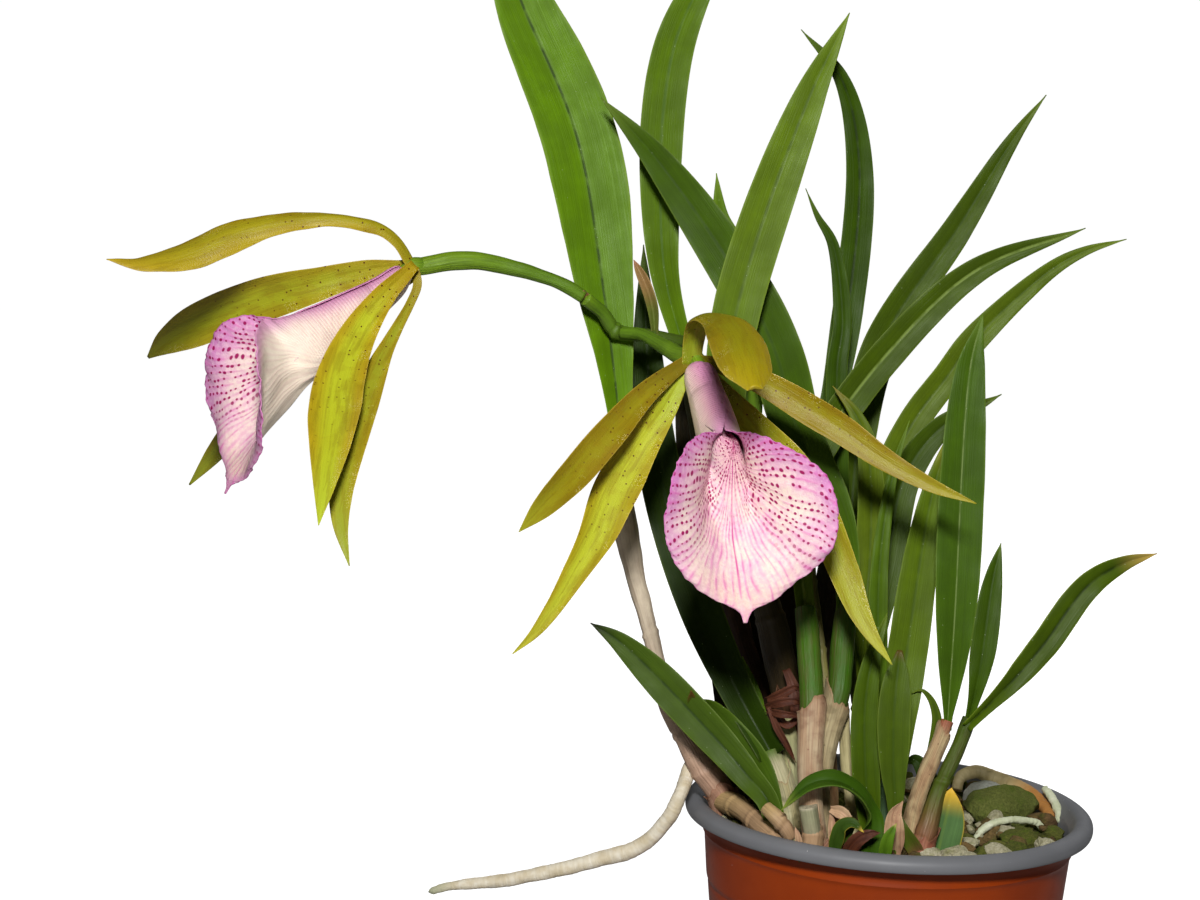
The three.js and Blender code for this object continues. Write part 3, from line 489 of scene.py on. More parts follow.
def chunk(centre, size, seed, detail=3, turn=0.0, tilt=0.0, cuts=9, depth=0.72, rough=0.05):
    """A broken bit: a ball planed by random flats, stretched, turned, and roughened."""
    draw = np.random.default_rng(seed)
    points, faces = balls[detail]
    points = points.copy()
    for _ in range(cuts):
        flat = draw.normal(size=3)
        flat /= np.linalg.norm(flat)
        over = np.maximum(points @ flat - depth * draw.uniform(0.85, 1.15), 0)
        points -= over[:, None] * flat
    lumps = rough * waves(points, 0.7, seed + 1)[:, None]
    points *= 1 + lumps + 0.5 * rough * waves(points, 0.25, seed + 2)[:, None]
    points *= np.array(size)
    own = points.copy()
    c, s = math.cos(tilt), math.sin(tilt)
    points = points @ np.array([[1, 0, 0], [0, c, s], [0, -s, c]])
    c, s = math.cos(turn), math.sin(turn)
    points = points @ np.array([[c, s, 0], [-s, c, 0], [0, 0, 1]])
    points = points + np.array(centre)
    shade = np.tile([draw.uniform(), draw.uniform(), 0], (len(points), 1))
    lie = own[:, [1, 2, 0]] + 40 * draw.uniform(size=3)
    return {"points": points, "faces": faces, "lie": lie, "share": shade}


def grain_group():
    """Streaks that run along a piece: their width across and their length, in millimetres."""
    inputs = {"Lie": "Vector", "Width": "Float", "Length": "Float"}
    group, given, out = new_group("long grain", inputs, {"Grain": "Float"})
    parts = add_node(group, "ShaderNodeSeparateXYZ", {0: given["Lie"]})
    across = parts[0] / given["Width"]
    around = parts[1] / given["Width"]
    ahead = parts[2] / given["Length"]
    spot = add_node(group, "ShaderNodeCombineXYZ", {0: across, 1: around, 2: ahead})[0]
    noise = add_node(
        group, "ShaderNodeTexNoise", {"Vector": spot, "Scale": 1.0, "Detail": 3.0, "Roughness": 0.6}
    )
    lead(ease(noise[0], 0.32, 0.68), out["Grain"])
    return group


grain_nodes = grain_group()


def grain(lie, width, length):
    return placed(grain_nodes, lie, width, length)[0]


def marks_of(tree, name):
    """A mark that skins carry, whole and in its parts: lie, in millimetres, or share."""
    vector = add_node(tree, "ShaderNodeAttribute", attribute_name=name)["Vector"]
    parts = add_node(tree, "ShaderNodeSeparateXYZ", {0: vector})
    return vector, (parts[0], parts[1], parts[2])


def laid_flat(parts):
    """The lie of a sheet as a flat place: across and along, with its two sides far apart."""
    across = parts[0] + parts[1]
    return add_node(across.tree, "ShaderNodeCombineXYZ", {0: across, 1: parts[2]})[0]


flat_speck_nodes = specks_group("flat specks", "2D")


def flat_specks(flat, cell, share, radius):
    return placed(flat_speck_nodes, flat, cell, share, radius)[0]


def rubble_finish(name, pale, dark, green, greening, roughness, streaky):
    """Bark, stone or moss: each bit has its own shade, with grain, pits and green algae."""
    material, tree, shader = new_finish(name, roughness, 0.25)
    place = surface_place(tree)
    lie, _ = marks_of(tree, "lie")
    _, share = marks_of(tree, "share")
    streaks = grain(lie, 0.7, 0.7 + streaky * 6)
    blots = patches(place, 2.6)
    fine = patches(place, 0.45)
    algae = patches(place, 7.0)
    base = tint(scaled(streaks, 0.5, share[0] * 0.5), dark, pale)
    cover = calc("MULTIPLY", algae * blots, greening, use_clamp=True)
    base = tint(calc("MAXIMUM", cover, share[1] * (greening * 0.35)), base, green)
    base = tint(fine * 0.35, base, dark)
    relief = scaled(streaks, 0.6, scaled(fine, 0.4, blots))
    feed(shader, base, scaled(fine, 0.15, roughness), relief, 0.35, 0.8)
    return material


bark = rubble_finish("bark", (142, 110, 72), (62, 44, 26), (78, 82, 28), 0.9, 0.75, 1.0)
stone = rubble_finish("pale stone", (206, 198, 172), (140, 134, 104), (120, 124, 60), 0.7, 0.7, 0.0)
moss = rubble_finish("mossy mix", (112, 108, 52), (48, 50, 20), (84, 100, 24), 1.2, 0.9, 0.2)


def mix_plug():
    inner = lambda z: wall_radius(z) - 2 * POT_WALL - 2 * LAYER_GAP - 0.1
    side = [
        (inner(3.6) - 1.6, 3.3), (inner(20), 20), (inner(GROOVE_HEIGHT) - 0.45, GROOVE_HEIGHT),
        (inner(80), 80), (inner(84.5), 84.5),
    ]
    top = [(r, 84.9) for r in np.linspace(inner(84.5) - 1, 0.05, 56)]
    plug = spun([(0.05, 3.0), (25, 3.0), *side, *top])
    points = plug["points"]
    on_top = points[:, 2] > 84.7
    rim = clamp((inner(84.5) - np.hypot(points[:, 0], points[:, 1])) / 3)
    flat = points * [1, 1, 0]
    rise = 0.9 * waves(flat, 12, 5) + 0.5 * waves(flat, 4, 6) + 0.3 * waves(flat, 1.7, 7)
    points[:, 2] += on_top * rim * rise
    return plug


show("potting mix", mix_plug(), moss, "bark_mix", "potting_mix")


# Bits that show in front, each by its place, its half sizes and its kind
NAMED_BITS = [
    ((37, -17, 86), (7, 6, 5.5), "moss", 0.2), ((27, -33, 87), (6, 4, 2.5), "moss", 0.3),
    ((18, -41, 87), (4.5, 3.5, 2.4), "stone", -0.4), ((34, -30, 87), (5, 3.5, 2.5), "moss", 0.8),
    ((11, -46, 87), (4, 3, 2), "stone", 0.1), ((44, -24, 87), (4, 3.5, 2.2), "stone", 1.0),
    ((-33, -39, 87), (4.5, 3, 2.4), "stone", 0.5), ((-20, -46, 86.5), (4, 3, 2), "stone", -0.2),
    ((-10, -48, 86.5), (4, 2.5, 2), "bark", 0.0), ((49, -8, 86), (4, 4, 3), "moss", 0.0),
    ((-44, -28, 86.5), (4, 3, 2.2), "stone", 0.9), ((3, -45, 87.5), (3.4, 3, 2.6), "bark", 0.0),
    ((-9, -42, 87.4), (5, 2.6, 2), "moss", 0.2), ((-1, -41, 87.6), (4.4, 3, 2.4), "bark", 0.5),
    ((7, -41, 88), (5, 2.6, 2), "stone", -0.1), ((15, -38, 87.6), (5, 3, 2.6), "stone", 0.4),
    ((-28, -44, 86.8), (4, 2.6, 2), "moss", 0.9), ((-38, -33, 88), (4.4, 3, 2.2), "stone", 0.3),
    ((-45, -20, 88), (4, 3, 2.4), "moss", 1.2), ((-50, -12, 87), (4, 3, 2.4), "stone", 0.6),
]


def bits_of_mix():
    """Bark, stone and moss bits, laid from the middle outward by the golden angle."""
    bits = {"bark": [], "stone": [], "moss": []}
    draw = seeded(4182)
    for i in range(MIX_LUMPS):
        reach = LUMP_REACH * math.sqrt((i + 0.5) / MIX_LUMPS)
        a = i * GOLDEN_ANGLE + 0.4 * next(draw)
        size = 4 + 4 * next(draw)
        height = MIX_TOP - 1.4 + 1.4 * next(draw)
        flat = (size, size * (0.6 + 0.3 * next(draw)), size * (0.45 + 0.25 * next(draw)))
        kind = ("bark", "bark", "moss", "stone")[i % 4]
        spot = (reach * math.cos(a), reach * math.sin(a), height)
        bits[kind].append(chunk(spot, flat, 100 + i, 3, 2 * math.pi * next(draw), 0.5 * next(draw)))
    for i in range(MIX_CRUMBS):
        reach = CRUMB_REACH * math.sqrt((i + 0.5) / MIX_CRUMBS)
        a = i * GOLDEN_ANGLE + 2 + 0.5 * next(draw)
        size = 1.3 + 2.6 * next(draw) ** 2
        kind = ("stone", "bark", "moss", "bark", "stone")[int(5 * next(draw))]
        flat = (size * (1 + 0.5 * next(draw)), size, size * (0.5 + 0.4 * next(draw)))
        spot = (reach * math.cos(a), reach * math.sin(a), MIX_TOP - 0.2 + 2.4 * next(draw))
        bits[kind].append(chunk(spot, flat, 400 + i, 2, 2 * math.pi * next(draw), 1.2 * next(draw)))
    for spot, size, kind, turn in NAMED_BITS:
        bits[kind].append(chunk(spot, size, int(900 + spot[0]), 4, turn, 0.2))
    return bits


mix_bits = bits_of_mix()
show("bark chunks", joined(mix_bits["bark"]), bark, "bark_mix", crease=35)
show("pale stones", joined(mix_bits["stone"]), stone, "bark_mix", crease=35)
show("moss lumps", joined(mix_bits["moss"]), moss, "bark_mix", crease=45)

# Large rock at the right, green with algae, and the block of pale grey foam that stands behind it.
# Both are wedged among the roots and stand a little above the rest of the mix.
rock_finish = rubble_finish("algae rock", (120, 124, 60), (66, 70, 28), (82, 96, 30), 1.3, 0.7, 0.0)
foam_finish = rubble_finish("grey foam", (222, 224, 216), (176, 178, 168), (110, 116, 80), 0.3, 0.85, 0.0)
rock = chunk((36, 10, 88), (12.6, 9.6, 8), 12, 4, 0.3, 0.1, cuts=12, depth=0.8, rough=0.035)
show("algae rock", rock, rock_finish, "mossy_rock", "rock_green", crease=30)
foam = chunk((36, 31, 86.2), (9.6, 6.8, 6.6), 25, 4, 0.4, 0, cuts=10, depth=0.78, rough=0.03)
show("foam block", foam, foam_finish, "bark_mix", crease=35)

# Aerial roots: a thin wiry core in a thick spongy cream skin that is faintly ringed. The longest
# has grown out over the lip and hangs free, and the others lie over the mix.

# Each by its name, radii and course, then its pale and shaded colours and its tip's, and the shares
# of its length where the tip's colour starts and over which it comes in
roots = [
    ("root_hanging", [1.8, 2.1, 2.2, 2.2, 2.4, 2.3, 2.2, 2, 1.9, 1.6, 1],
     [(-55, -5.5, 103.5), (-59, -5.5, 103.5), (-61.5, -9, 99), (-63, -13, 95), (-66.5, -13, 87),
      (-74, -11, 78), (-86, -10, 73), (-98, -9, 69), (-116, -7, 64), (-131, -5, 61), (-137, -5, 59)],
     ((232, 224, 205), (196, 178, 140), (170, 172, 140))),
    ("root_right_thick", [1.6, 2, 2.2, 2.3, 2.2, 2.1, 1.9, 1.6],
     [(24.6, 28, 89.4), (25.8, 30, 93), (30.6, 32, 94.4), (36.1, 31, 93.2), (42.3, 27, 91.9),
      (47.4, 21, 90.2), (50, 14, 88.2), (50.8, 8, 86)],
     ((196, 180, 134), (150, 132, 86), (174, 120, 62), 0.42, 0.3)),
    ("root_front_pale", [1, 1.2, 1.1, 1.1, 1, 1],
     [(25, -12, 85), (28, -10, 88), (33, -9, 90), (38, -7, 90), (44, -5, 89), (47, -4, 86)],
     ((220, 222, 196), (176, 182, 140), (190, 196, 160))),
]
BRANCH_POINTS = [(50.1, 19, 93.5), (52, 15, 91.4), (53.2, 11, 88.8), (53.2, 7, 86)]


def unit(vectors):
    return vectors / np.linalg.norm(vectors, axis=-1, keepdims=True)


def carried_frames(ahead):
    """Two directions across a stem at each point, carried along it without twist."""
    normal = np.cross(ahead[0], [0.3, -1, 0.2])
    frames = []
    for way in ahead:
        normal = normal - way * (normal @ way)
        normal = normal / np.linalg.norm(normal)
        frames.append(normal)
    first = np.array(frames)
    return first, np.cross(ahead, first)


def stem(points, radii, rows=80, sides=20, relief=None, blunt=0.0):
    """A round stem along a curve. relief adds to its radius by the distance along and the turn."""
    path, ahead, run = even_path(points, rows)
    share = np.linspace(0, 1, rows + 1)
    radius = np.interp(share, np.linspace(0, 1, len(radii)), radii)
    radius = np.convolve(np.pad(radius, 3, "edge"), np.ones(7) / 7, "valid")
    if blunt:
        left = (run[-1] - run) / (blunt * radius[-1])
        radius = radius * np.sqrt(np.clip(1 - clamp(1 - left) ** 2, 0.02, 1))
    first, second = carried_frames(ahead)
    turn = full_turn(sides)
    reach = radius[:, None] + (relief(run[:, None], turn[None, :]) if relief else 0)
    across = first[:, None] * np.cos(turn)[None, :, None] + second[:, None] * np.sin(turn)[None, :, None]
    rings = path[:, None] + across * reach[..., None]
    middle = float(np.mean(radii))
    lie = grid(middle * np.cos(turn), middle * np.sin(turn), run[:, None])
    marks = grid(turn / (2 * math.pi), share[:, None], 1.0)
    return tube_mesh(rings, lie, marks)


def root_skin(seed):
    """Lumps and faint rings on a root's skin."""
    def relief(run, turn):
        spots = grid(np.cos(turn) * 2, np.sin(turn) * 2, run)
        rings = np.sin(run * 2.1 + 1.5 * np.sin(run * 0.31 + seed)) ** 8
        return 0.13 * waves(spots, 5, seed) + 0.05 * waves(spots, 1.6, seed + 1) - 0.07 * rings
    return relief


def root_finish(name, pale, shade, tip, tip_from=0.9, tip_run=0.1):
    """Spongy root skin: pale, with darker patches and rings, brown dots and a tip of its own colour."""
    material, tree, shader = new_finish(name, 0.55, 0.4)
    lie, _ = marks_of(tree, "lie")
    _, share = marks_of(tree, "share")
    bands = grain(lie, 5.0, 0.9)
    fine = grain(lie, 0.35, 2.5)
    blots = patches(lie, 4.0)
    dots = specks(lie, 1.3, 0.12, 0.16)
    base = tint(blots * 0.7, pale, shade)
    base = tint(bands * 0.35, base, shade)
    base = tint(dots * 0.5, base, (120, 96, 60))
    base = tint(ease(share[1], tip_from, tip_from + tip_run), base, tip)
    relief = scaled(fine, 0.4, bands)
    feed(shader, base, scaled(blots, 0.15, 0.45), relief, 0.12, 0.8)
    return material


for k, (name, radii, points, colours) in enumerate(roots):
    root = stem(points, radii, 150, 24, root_skin(k + 3), blunt=1.6)
    show(name, root, root_finish(name, *colours), "aerial_root", name)
branch = stem(BRANCH_POINTS, [1.1, 1.4, 1.4, 1.2], 50, 20, root_skin(9), blunt=1.6)
show("root branch", branch, root_finish("root branch", *roots[-1][3]), "aerial_root")

# Canes and rhizome: jointed woody stems that creep over the mix and then stand up, ringed at their
# nodes. Old ones are dry and beige under the remains of papery sheaths, and young ones are green.

# Each by its name, slot, the shares of its length where its nodes are, its radii and course, then its
# colours low down, high up, in its dark marks and at its top, and where low gives way to high
canes = [
    ("cane_tall_left", "cane_dry", [0.12, 0.2, 0.3, 0.55],
     [3.4, 4.3, 4.2, 3, 2.6, 2.3, 2.5, 2.9, 3.8, 3.5, 2.8],
     [(-46, -10, 79), (-48.4, -10, 88), (-51, -10, 95), (-56.4, -10, 102), (-61, -9, 109), (-68, -7, 120),
      (-72.4, -4, 135.4), (-76, -1, 147), (-80.6, 3, 162), (-85.4, 9, 185), (-85.6, 11, 194)],
     ((196, 158, 132), (214, 198, 172), (112, 76, 58), (150, 160, 80))),
    # The next two canes, at the back, have dark colours that are painted shade: they stand in shadow behind
    # the flowers.
    ("cane_back_slender", "cane_shaded", [0.25, 0.5, 0.78], [3, 3.2, 3.3, 3.2, 2.6, 2.2, 2.2],
     [(-29, 15, 76), (-30, 15, 87), (-36, 14, 112), (-46, 14, 136), (-55, 16, 167), (-62, 19, 197),
      (-68, 23, 225)], ((84, 58, 34), (58, 58, 22), (40, 26, 14), (96, 116, 34))),
    ("cane_back_sheathed", "cane_shaded", [0.35, 0.65], [3.2, 3.6, 4.6, 4.8, 3.4, 2.4],
     [(-26, 1, 76), (-27, 0, 91), (-31, -4, 117), (-37, -6, 141), (-44, -4, 164), (-50, -1, 185)],
     ((92, 68, 40), (62, 52, 26), (38, 26, 14), (84, 104, 34))),
    ("cane_left_sheathed", "cane_dry", [0.3], [3, 3.2, 3.1, 3.4, 2.9],
     [(-30, -20, 76), (-31, -20, 88), (-33, -20, 98), (-35, -20, 104), (-38, -19, 111)],
     ((196, 176, 136), (204, 196, 156), (88, 82, 44), (90, 120, 40))),
    ("cane_front_left", "cane_dry", [0.3], [2.9, 2.9, 2.8, 3.1, 3.4, 3.4, 3.1],
     [(-25, -42, 76), (-25, -43, 88), (-27, -43, 101), (-28, -42, 114), (-28, -38, 129), (-29, -30, 143),
      (-30, -23, 154)], ((186, 138, 112), (56, 102, 0), (96, 60, 44), (50, 92, 0), (0.5, 0.56))),
    ("cane_front_right", "cane_dry", [0.35], [2.5, 2.2, 2.1, 2.9, 3.4, 3.4, 3],
     [(-21, -36, 76), (-22, -36, 87), (-24, -36, 104), (-23, -35, 118), (-20, -32, 132), (-19, -26, 144),
      (-18, -20, 156)], ((176, 140, 110), (52, 98, 0), (90, 60, 40), (46, 86, 0), (0.5, 0.56))),
    ("cane_thin", "cane_shaded", [0.2, 0.42, 0.6, 0.8], [1.7, 1.7, 1.5, 1.3, 1.2, 1.4],
     [(-18, -18, 76), (-19, -18, 96), (-22, -18, 126), (-24, -10, 142), (-27, 0, 162), (-27, 8, 178)],
     ((150, 120, 84), (120, 116, 60), (70, 48, 30), (80, 110, 30))),
    ("cane_dry_stub", "cane_dry", [0.4], [1.9, 1.8, 1.9, 1.5],
     [(-13, -30, 77), (-14, -30, 97), (-17, -30, 117), (-18, -29, 128)],
     ((206, 196, 150), (196, 184, 136), (116, 104, 62), (160, 120, 84))),
    ("cane_right_pale", "cane_dry", [0.35], [2.2, 2.4, 1.9, 2, 1.7],
     [(3, -27, 76), (4, -26, 94), (7, -25, 106), (11, -24, 117), (13, -23, 123)],
     ((190, 166, 124), (196, 168, 126), (104, 74, 48), (168, 96, 70))),
    ("cane_right_green", "cane_green", [0.28, 0.62], [2.8, 3.3, 2.9, 2.1, 2.2, 1.9],
     [(4.2, -39, 76), (5.8, -38.4, 90), (7.4, -37, 95.6), (10, -35, 105), (15, -33, 117), (18, -32, 126)],
     ((172, 104, 84), (72, 92, 12), (70, 46, 24), (54, 82, 8))),
    ("cane_middle", "cane_green", [0.3, 0.7], [2.6, 2.7, 2.5, 2.6],
     [(-2, -10, 76), (-3, -10, 92), (-7, -11, 112), (-9, -12, 125)],
     ((110, 106, 50), (80, 100, 30), (60, 50, 24), (70, 104, 24))),
    ("cane_back_middle", "cane_green", [0.3, 0.7], [2.6, 2.6, 2.4, 2.4],
     [(-5, 10, 76), (-6, 10, 90), (-9, 8, 115), (-12, 7, 137)],
     ((110, 106, 50), (80, 100, 30), (60, 50, 24), (70, 104, 24))),
]


def cane_skin(length, nodes, seed, ribs=15):
    """Fine ribs, a raised ring with a crease above it at each node, and slow lumps."""
    def relief(run, turn):
        spots = grid(np.cos(turn) * 3, np.sin(turn) * 3, run)
        height = 0.045 * np.cos(ribs * turn + 0.6 * np.sin(run * 0.11)) + 0.1 * waves(spots, 9, seed)
        for node in nodes:
            off = run - node * length + 0.5 * np.sin(turn + node * 9)
            height = height + 0.32 * np.exp(-(off / 0.7) ** 2) - 0.22 * np.exp(-((off - 1.3) / 0.45) ** 2)
        return height
    return relief


def cane_finish(name, low, high, dark, top, turns=(0.1, 0.62)):
    """Dry cane: bleached or green, streaked along, with dark blots and dark specks low down."""
    material, tree, shader = new_finish(name, 0.55, 0.35)
    lie, _ = marks_of(tree, "lie")
    _, share = marks_of(tree, "share")
    streaks = grain(lie, 0.45, 14.0)
    broad = grain(lie, 1.8, 22.0)
    blots = patches(lie, 3.5)
    dots = specks(lie, 0.8, 0.2, 0.2)
    base = tint(ease(share[1], *turns), low, high)
    base = tint(ease(share[1], 0.86, 1.0), base, top)
    base = tint(streaks * broad * 0.55, base, dark)
    base = tint(blots * 0.18, base, dark)
    low_dots = dots * ease(share[1], 0.7, 0.2)
    base = tint(low_dots * 0.75, base, dark)
    relief = scaled(broad, 0.5, streaks)
    feed(shader, base, scaled(streaks, 0.2, 0.42), relief, 0.14, 0.7)
    return material


def sheet_mesh(top, bottom, lie_top, lie_bottom, share_top, share_bottom):
    """A thin closed sheet from the grids of its two faces, with a strip round its edge."""
    rows, across = top.shape[:2]
    first = (np.arange(rows - 1)[:, None] * across + np.arange(across - 1)[None, :]).ravel()
    upper = np.stack([first, first + 1, first + 1 + across, first + across], -1)
    under = upper[:, ::-1] + rows * across
    side = lambda a, b: np.stack([b, a, a + rows * across, b + rows * across], -1)
    index = np.arange(rows * across).reshape(rows, across)
    border = [
        side(index[0, :-1], index[0, 1:]), side(index[-1, 1:], index[-1, :-1]),
        side(index[1:, 0], index[:-1, 0]), side(index[:-1, -1], index[1:, -1]),
    ]
    faces = np.vstack([upper, under, *border])
    stack = lambda a, b: np.vstack([a.reshape(-1, 3), b.reshape(-1, 3)])
    return outward({
        "points": stack(top, bottom), "faces": faces.tolist(),
        "lie": stack(lie_top, lie_bottom), "share": stack(share_top, share_bottom),
    })


def blade_share(t, width, widths, neck, peak, tip):
    """Share of a blade's full width at t: the widths listed along it, or a neck, a belly and a tip."""
    if widths:
        listed = [(k, own / width) for k, own in enumerate(widths)]
        return np.clip(catmull(listed, t * (len(listed) - 1))[:, 1], 0, None)
    rise = clamp(t / peak)
    rise = neck + (1 - neck) * rise * rise * (3 - 2 * rise)
    fall = 1 - clamp((t - peak) / (1 - peak)) ** tip
    return np.where(t < peak, rise, fall)


def blade(
    points, width, rows, across, seed, fold, thick, edge, wave, neck=None, peak=None, tip=None, widths=None,
    fold_base=None, face=(0, -1, 0), face_tip=None, cupped=False, groove=0.0, keel=0.0, root=0.0,
):
    """A leaf or petal: a folded or cupped strap along a curve, its face turned to a given side."""
    points = np.array(points, float)
    if root:
        points = np.vstack([points[0] - root * unit(points[1] - points[0]), points])
    path, ahead, run = even_path(points, rows)
    length = run[-1] - root
    t = clamp((run - root) / length)
    face = np.array(face, float)
    face_tip = face if face_tip is None else np.array(face_tip, float)
    wanted = unit(face + (face_tip - face) * t[:, None])
    side = unit(np.cross(ahead, wanted))
    normal = unit(np.cross(side, ahead))
    half = np.maximum(width / 2 * blade_share(t, width, widths, neck, peak, tip), 0.16)
    fold_base = fold if fold_base is None else fold_base
    fold = np.radians(fold + (fold_base - fold) * clamp(1 - t / 0.25))
    q = np.sin(np.linspace(-math.pi / 2, math.pi / 2, across))[None, :]
    lift = q * q if cupped else np.sqrt(q * q + 0.01) - 0.1
    x = q * half[:, None]
    draw = np.random.default_rng(seed)
    sway = 0
    for edge_side in (-1, 1):
        weight = clamp(q * edge_side) ** 1.6
        for size, share in ((42, 1.0), (19, 0.5), (8, 0.22)):
            size = size * draw.uniform(0.8, 1.25)
            swing = np.sin(2 * math.pi * run[:, None] / size + draw.uniform(0, 6.3))
            sway = sway + wave * share * weight * swing
    sway = sway * clamp(half / 3)[:, None]
    up = lift * half[:, None] * np.sin(fold)[:, None] + sway
    place = path[:, None] + side[:, None] * (x * np.cos(fold)[:, None])[..., None]
    place = place + normal[:, None] * up[..., None]
    thick = edge + (thick - edge) * (1 - q * q)
    thick = thick * np.sqrt(np.clip(1 - np.abs(q) ** 7, 0.02, 1)) * np.clip(half / 1.5, 0.25, 1)[:, None]
    groove = groove * np.exp(-(x / 0.55) ** 2) * clamp(half / 3)[:, None]
    keel = keel * np.exp(-(x / 1.1) ** 2) * clamp(half / 3)[:, None]
    top = place + normal[:, None] * (thick / 2 - groove)[..., None]
    bottom = place - normal[:, None] * (thick / 2 + keel)[..., None]
    lies = [grid(x, apart, run[:, None]) for apart in (0.0, 50.0)]
    shares = [grid(q, t[:, None], side) for side in (1.0, -1.0)]
    return sheet_mesh(top, bottom, *lies, *shares)


SHOOT = dict(neck=0.5, peak=0.45, tip=2.4, fold=25, thick=1.0, edge=0.5, wave=0.1)
shoots = {
    "cane_front_left": ([(-24, -43, 84), (-20, -45, 90), (-17, -47, 96), (-14, -49, 99)], 7),
    "cane_right_green": ([(7, -38, 84), (3, -42, 90), (0, -43, 95), (-1, -43, 99)], 5),
}
for k, (name, slot, nodes, radii, points, colours) in enumerate(canes):
    finish = cane_finish(name, *colours)
    length = even_path(points, 40)[2][-1]
    skins = [stem(points, radii, 150, 30, cane_skin(length, nodes, k + 20))]
    if name in shoots:
        skins.append(blade(*shoots[name], 30, 13, k, **SHOOT))
    show(name, joined(skins), finish, slot, name)

rhizome_finish = cane_finish("rhizome", (186, 150, 118), (196, 170, 130), (96, 66, 46), (180, 140, 110))
rhizome_points = [(-44, -18, 86), (-41, -25, 87), (-34, -33, 86), (-31, -39, 84)]
rhizome = stem(rhizome_points, [3.4, 3.8, 3.6, 2.6], 80, 30, cane_skin(26, [0.2, 0.45, 0.7, 0.9], 61))
show("rhizome", rhizome, rhizome_finish, "cane_dry", "rhizome")

# Sheaths: the papery bases of old leaves that still wrap the canes like a rolled sheet, dry, pale
# and streaked, torn along a slope at the top where their blades broke off.

# Each by its cane, the shares of the cane's length where it starts and ends, how far it stands off,
# how deep and at which turn it is torn, and its colours
sheaths = [
    ("cane_front_left", 0.1, 0.67, 0.4, 0.06, 2.2, ((198, 176, 142), (182, 148, 116), (122, 78, 58))),
    ("cane_front_right", 0.12, 0.71, 0.4, 0.09, 5.6, ((190, 174, 134), (170, 150, 112), (96, 82, 52))),
    ("cane_left_sheathed", 0.25, 0.93, 0.35, 0.2, 4.0, ((208, 200, 160), (190, 176, 128), (66, 70, 34))),
    ("cane_tall_left", 0.02, 0.16, 0.3, 0.05, 1.0, ((190, 150, 124), (170, 124, 100), (104, 70, 52))),
    # The sheaths on the two back canes, this row and cane_back_slender's below, have near-black browns that
    # are painted shade.
    ("cane_back_sheathed", 0.1, 0.5, 0.4, 0.2, 2.0, ((84, 54, 32), (58, 34, 20), (34, 20, 12))),
    ("cane_right_pale", 0.25, 0.97, 0.3, 0.08, 0.0, ((200, 178, 134), (186, 150, 112), (104, 72, 44))),
    ("cane_right_green", 0.08, 0.36, 0.35, 0.12, 3.0, ((176, 122, 96), (150, 88, 68), (92, 50, 36))),
    ("cane_thin", 0.1, 0.5, 0.25, 0.15, 5.0, ((140, 112, 76), (112, 80, 52), (60, 42, 26))),
    ("cane_back_slender", 0.1, 0.55, 0.3, 0.15, 1.0, ((74, 46, 28), (54, 32, 20), (32, 18, 12))),
]


def sheath_skin(points, radii, start, stop, clear, torn, torn_turn, seed, rows=46, across=40):
    """A rolled paper-thin sheet round a cane, its edges lapped and its top torn."""
    path, ahead, run = even_path(points, 200)
    first, second = carried_frames(ahead)
    even = np.linspace(0, 1, len(run))
    radii = np.interp(even, np.linspace(0, 1, len(radii)), radii)
    turn = np.linspace(0, 2 * math.pi * 1.12, across)
    draw = np.random.default_rng(seed)
    ragged = 0.5 + 0.5 * np.cos(turn - torn_turn)
    for size in (3, 7, 13, 19):
        ragged = ragged + 0.5 / size * np.sin(size * turn + draw.uniform(0, 6.3))
    end = stop - torn * ragged
    row = np.linspace(0, 1, rows)[:, None]
    at = start + (end[None, :] - start) * row
    pick = lambda values: grid(*[np.interp(at, even, values[:, c]) for c in range(3)])
    centre, one, two = pick(path), pick(first), pick(second)
    out = unit(one * np.cos(turn)[None, :, None] + two * np.sin(turn)[None, :, None])
    lapped = 0.35 * np.linspace(0, 1, across)[None, :]
    flare = 0.55 * clamp((row - 0.86) / 0.14) ** 2 * (0.6 + 0.4 * np.sin(3 * turn + seed)[None, :])
    ribs = 0.04 * np.cos(26 * turn)[None, :] + 0.04 * np.sin(2.2 * turn[None, :] + at * 30 + seed)
    reach = np.interp(at, even, radii) + clear + lapped + flare + ribs
    outside = centre + out * reach[..., None]
    inside = centre + out * (reach - 0.2)[..., None]
    lie = grid(3 * np.cos(turn), 3 * np.sin(turn), at * run[-1])
    share = grid(turn / (2 * math.pi), row, 1.0)
    return sheet_mesh(outside, inside, lie, lie, share, share)


def sheath_finish(name, pale, blush, dark):
    """Dry sheath: pale, with pink-brown blush and smears, close dark lines and a brown torn edge."""
    material, tree, shader = new_finish(name, 0.6, 0.3)
    lie, _ = marks_of(tree, "lie")
    _, share = marks_of(tree, "share")
    lines = grain(lie, 0.28, 18.0)
    broad = grain(lie, 2.4, 16.0)
    smears = patches(lie, 3.2)
    dots = specks(lie, 1.6, 0.12, 0.2)
    base = tint(broad, pale, blush)
    base = tint(lines ** 2.0 * 0.4, base, dark)
    base = tint(smears ** 3.0 * 0.5, base, dark)
    base = tint(dots * 0.6, base, dark)
    base = tint(ease(share[1], 0.96, 1.0, 0.0, 0.5), base, (140, 96, 66))
    feed(shader, base, scaled(lines, 0.2, 0.45), lines, 0.12, 0.8)
    return material


cane_of = {cane[0]: cane for cane in canes}
for k, (name, *fit, colours) in enumerate(sheaths):
    _, slot, _, radii, points, _ = cane_of[name]
    title = "sheath_on_" + name
    show(title, sheath_skin(points, radii, *fit, 70 + k), sheath_finish(title, *colours), slot)
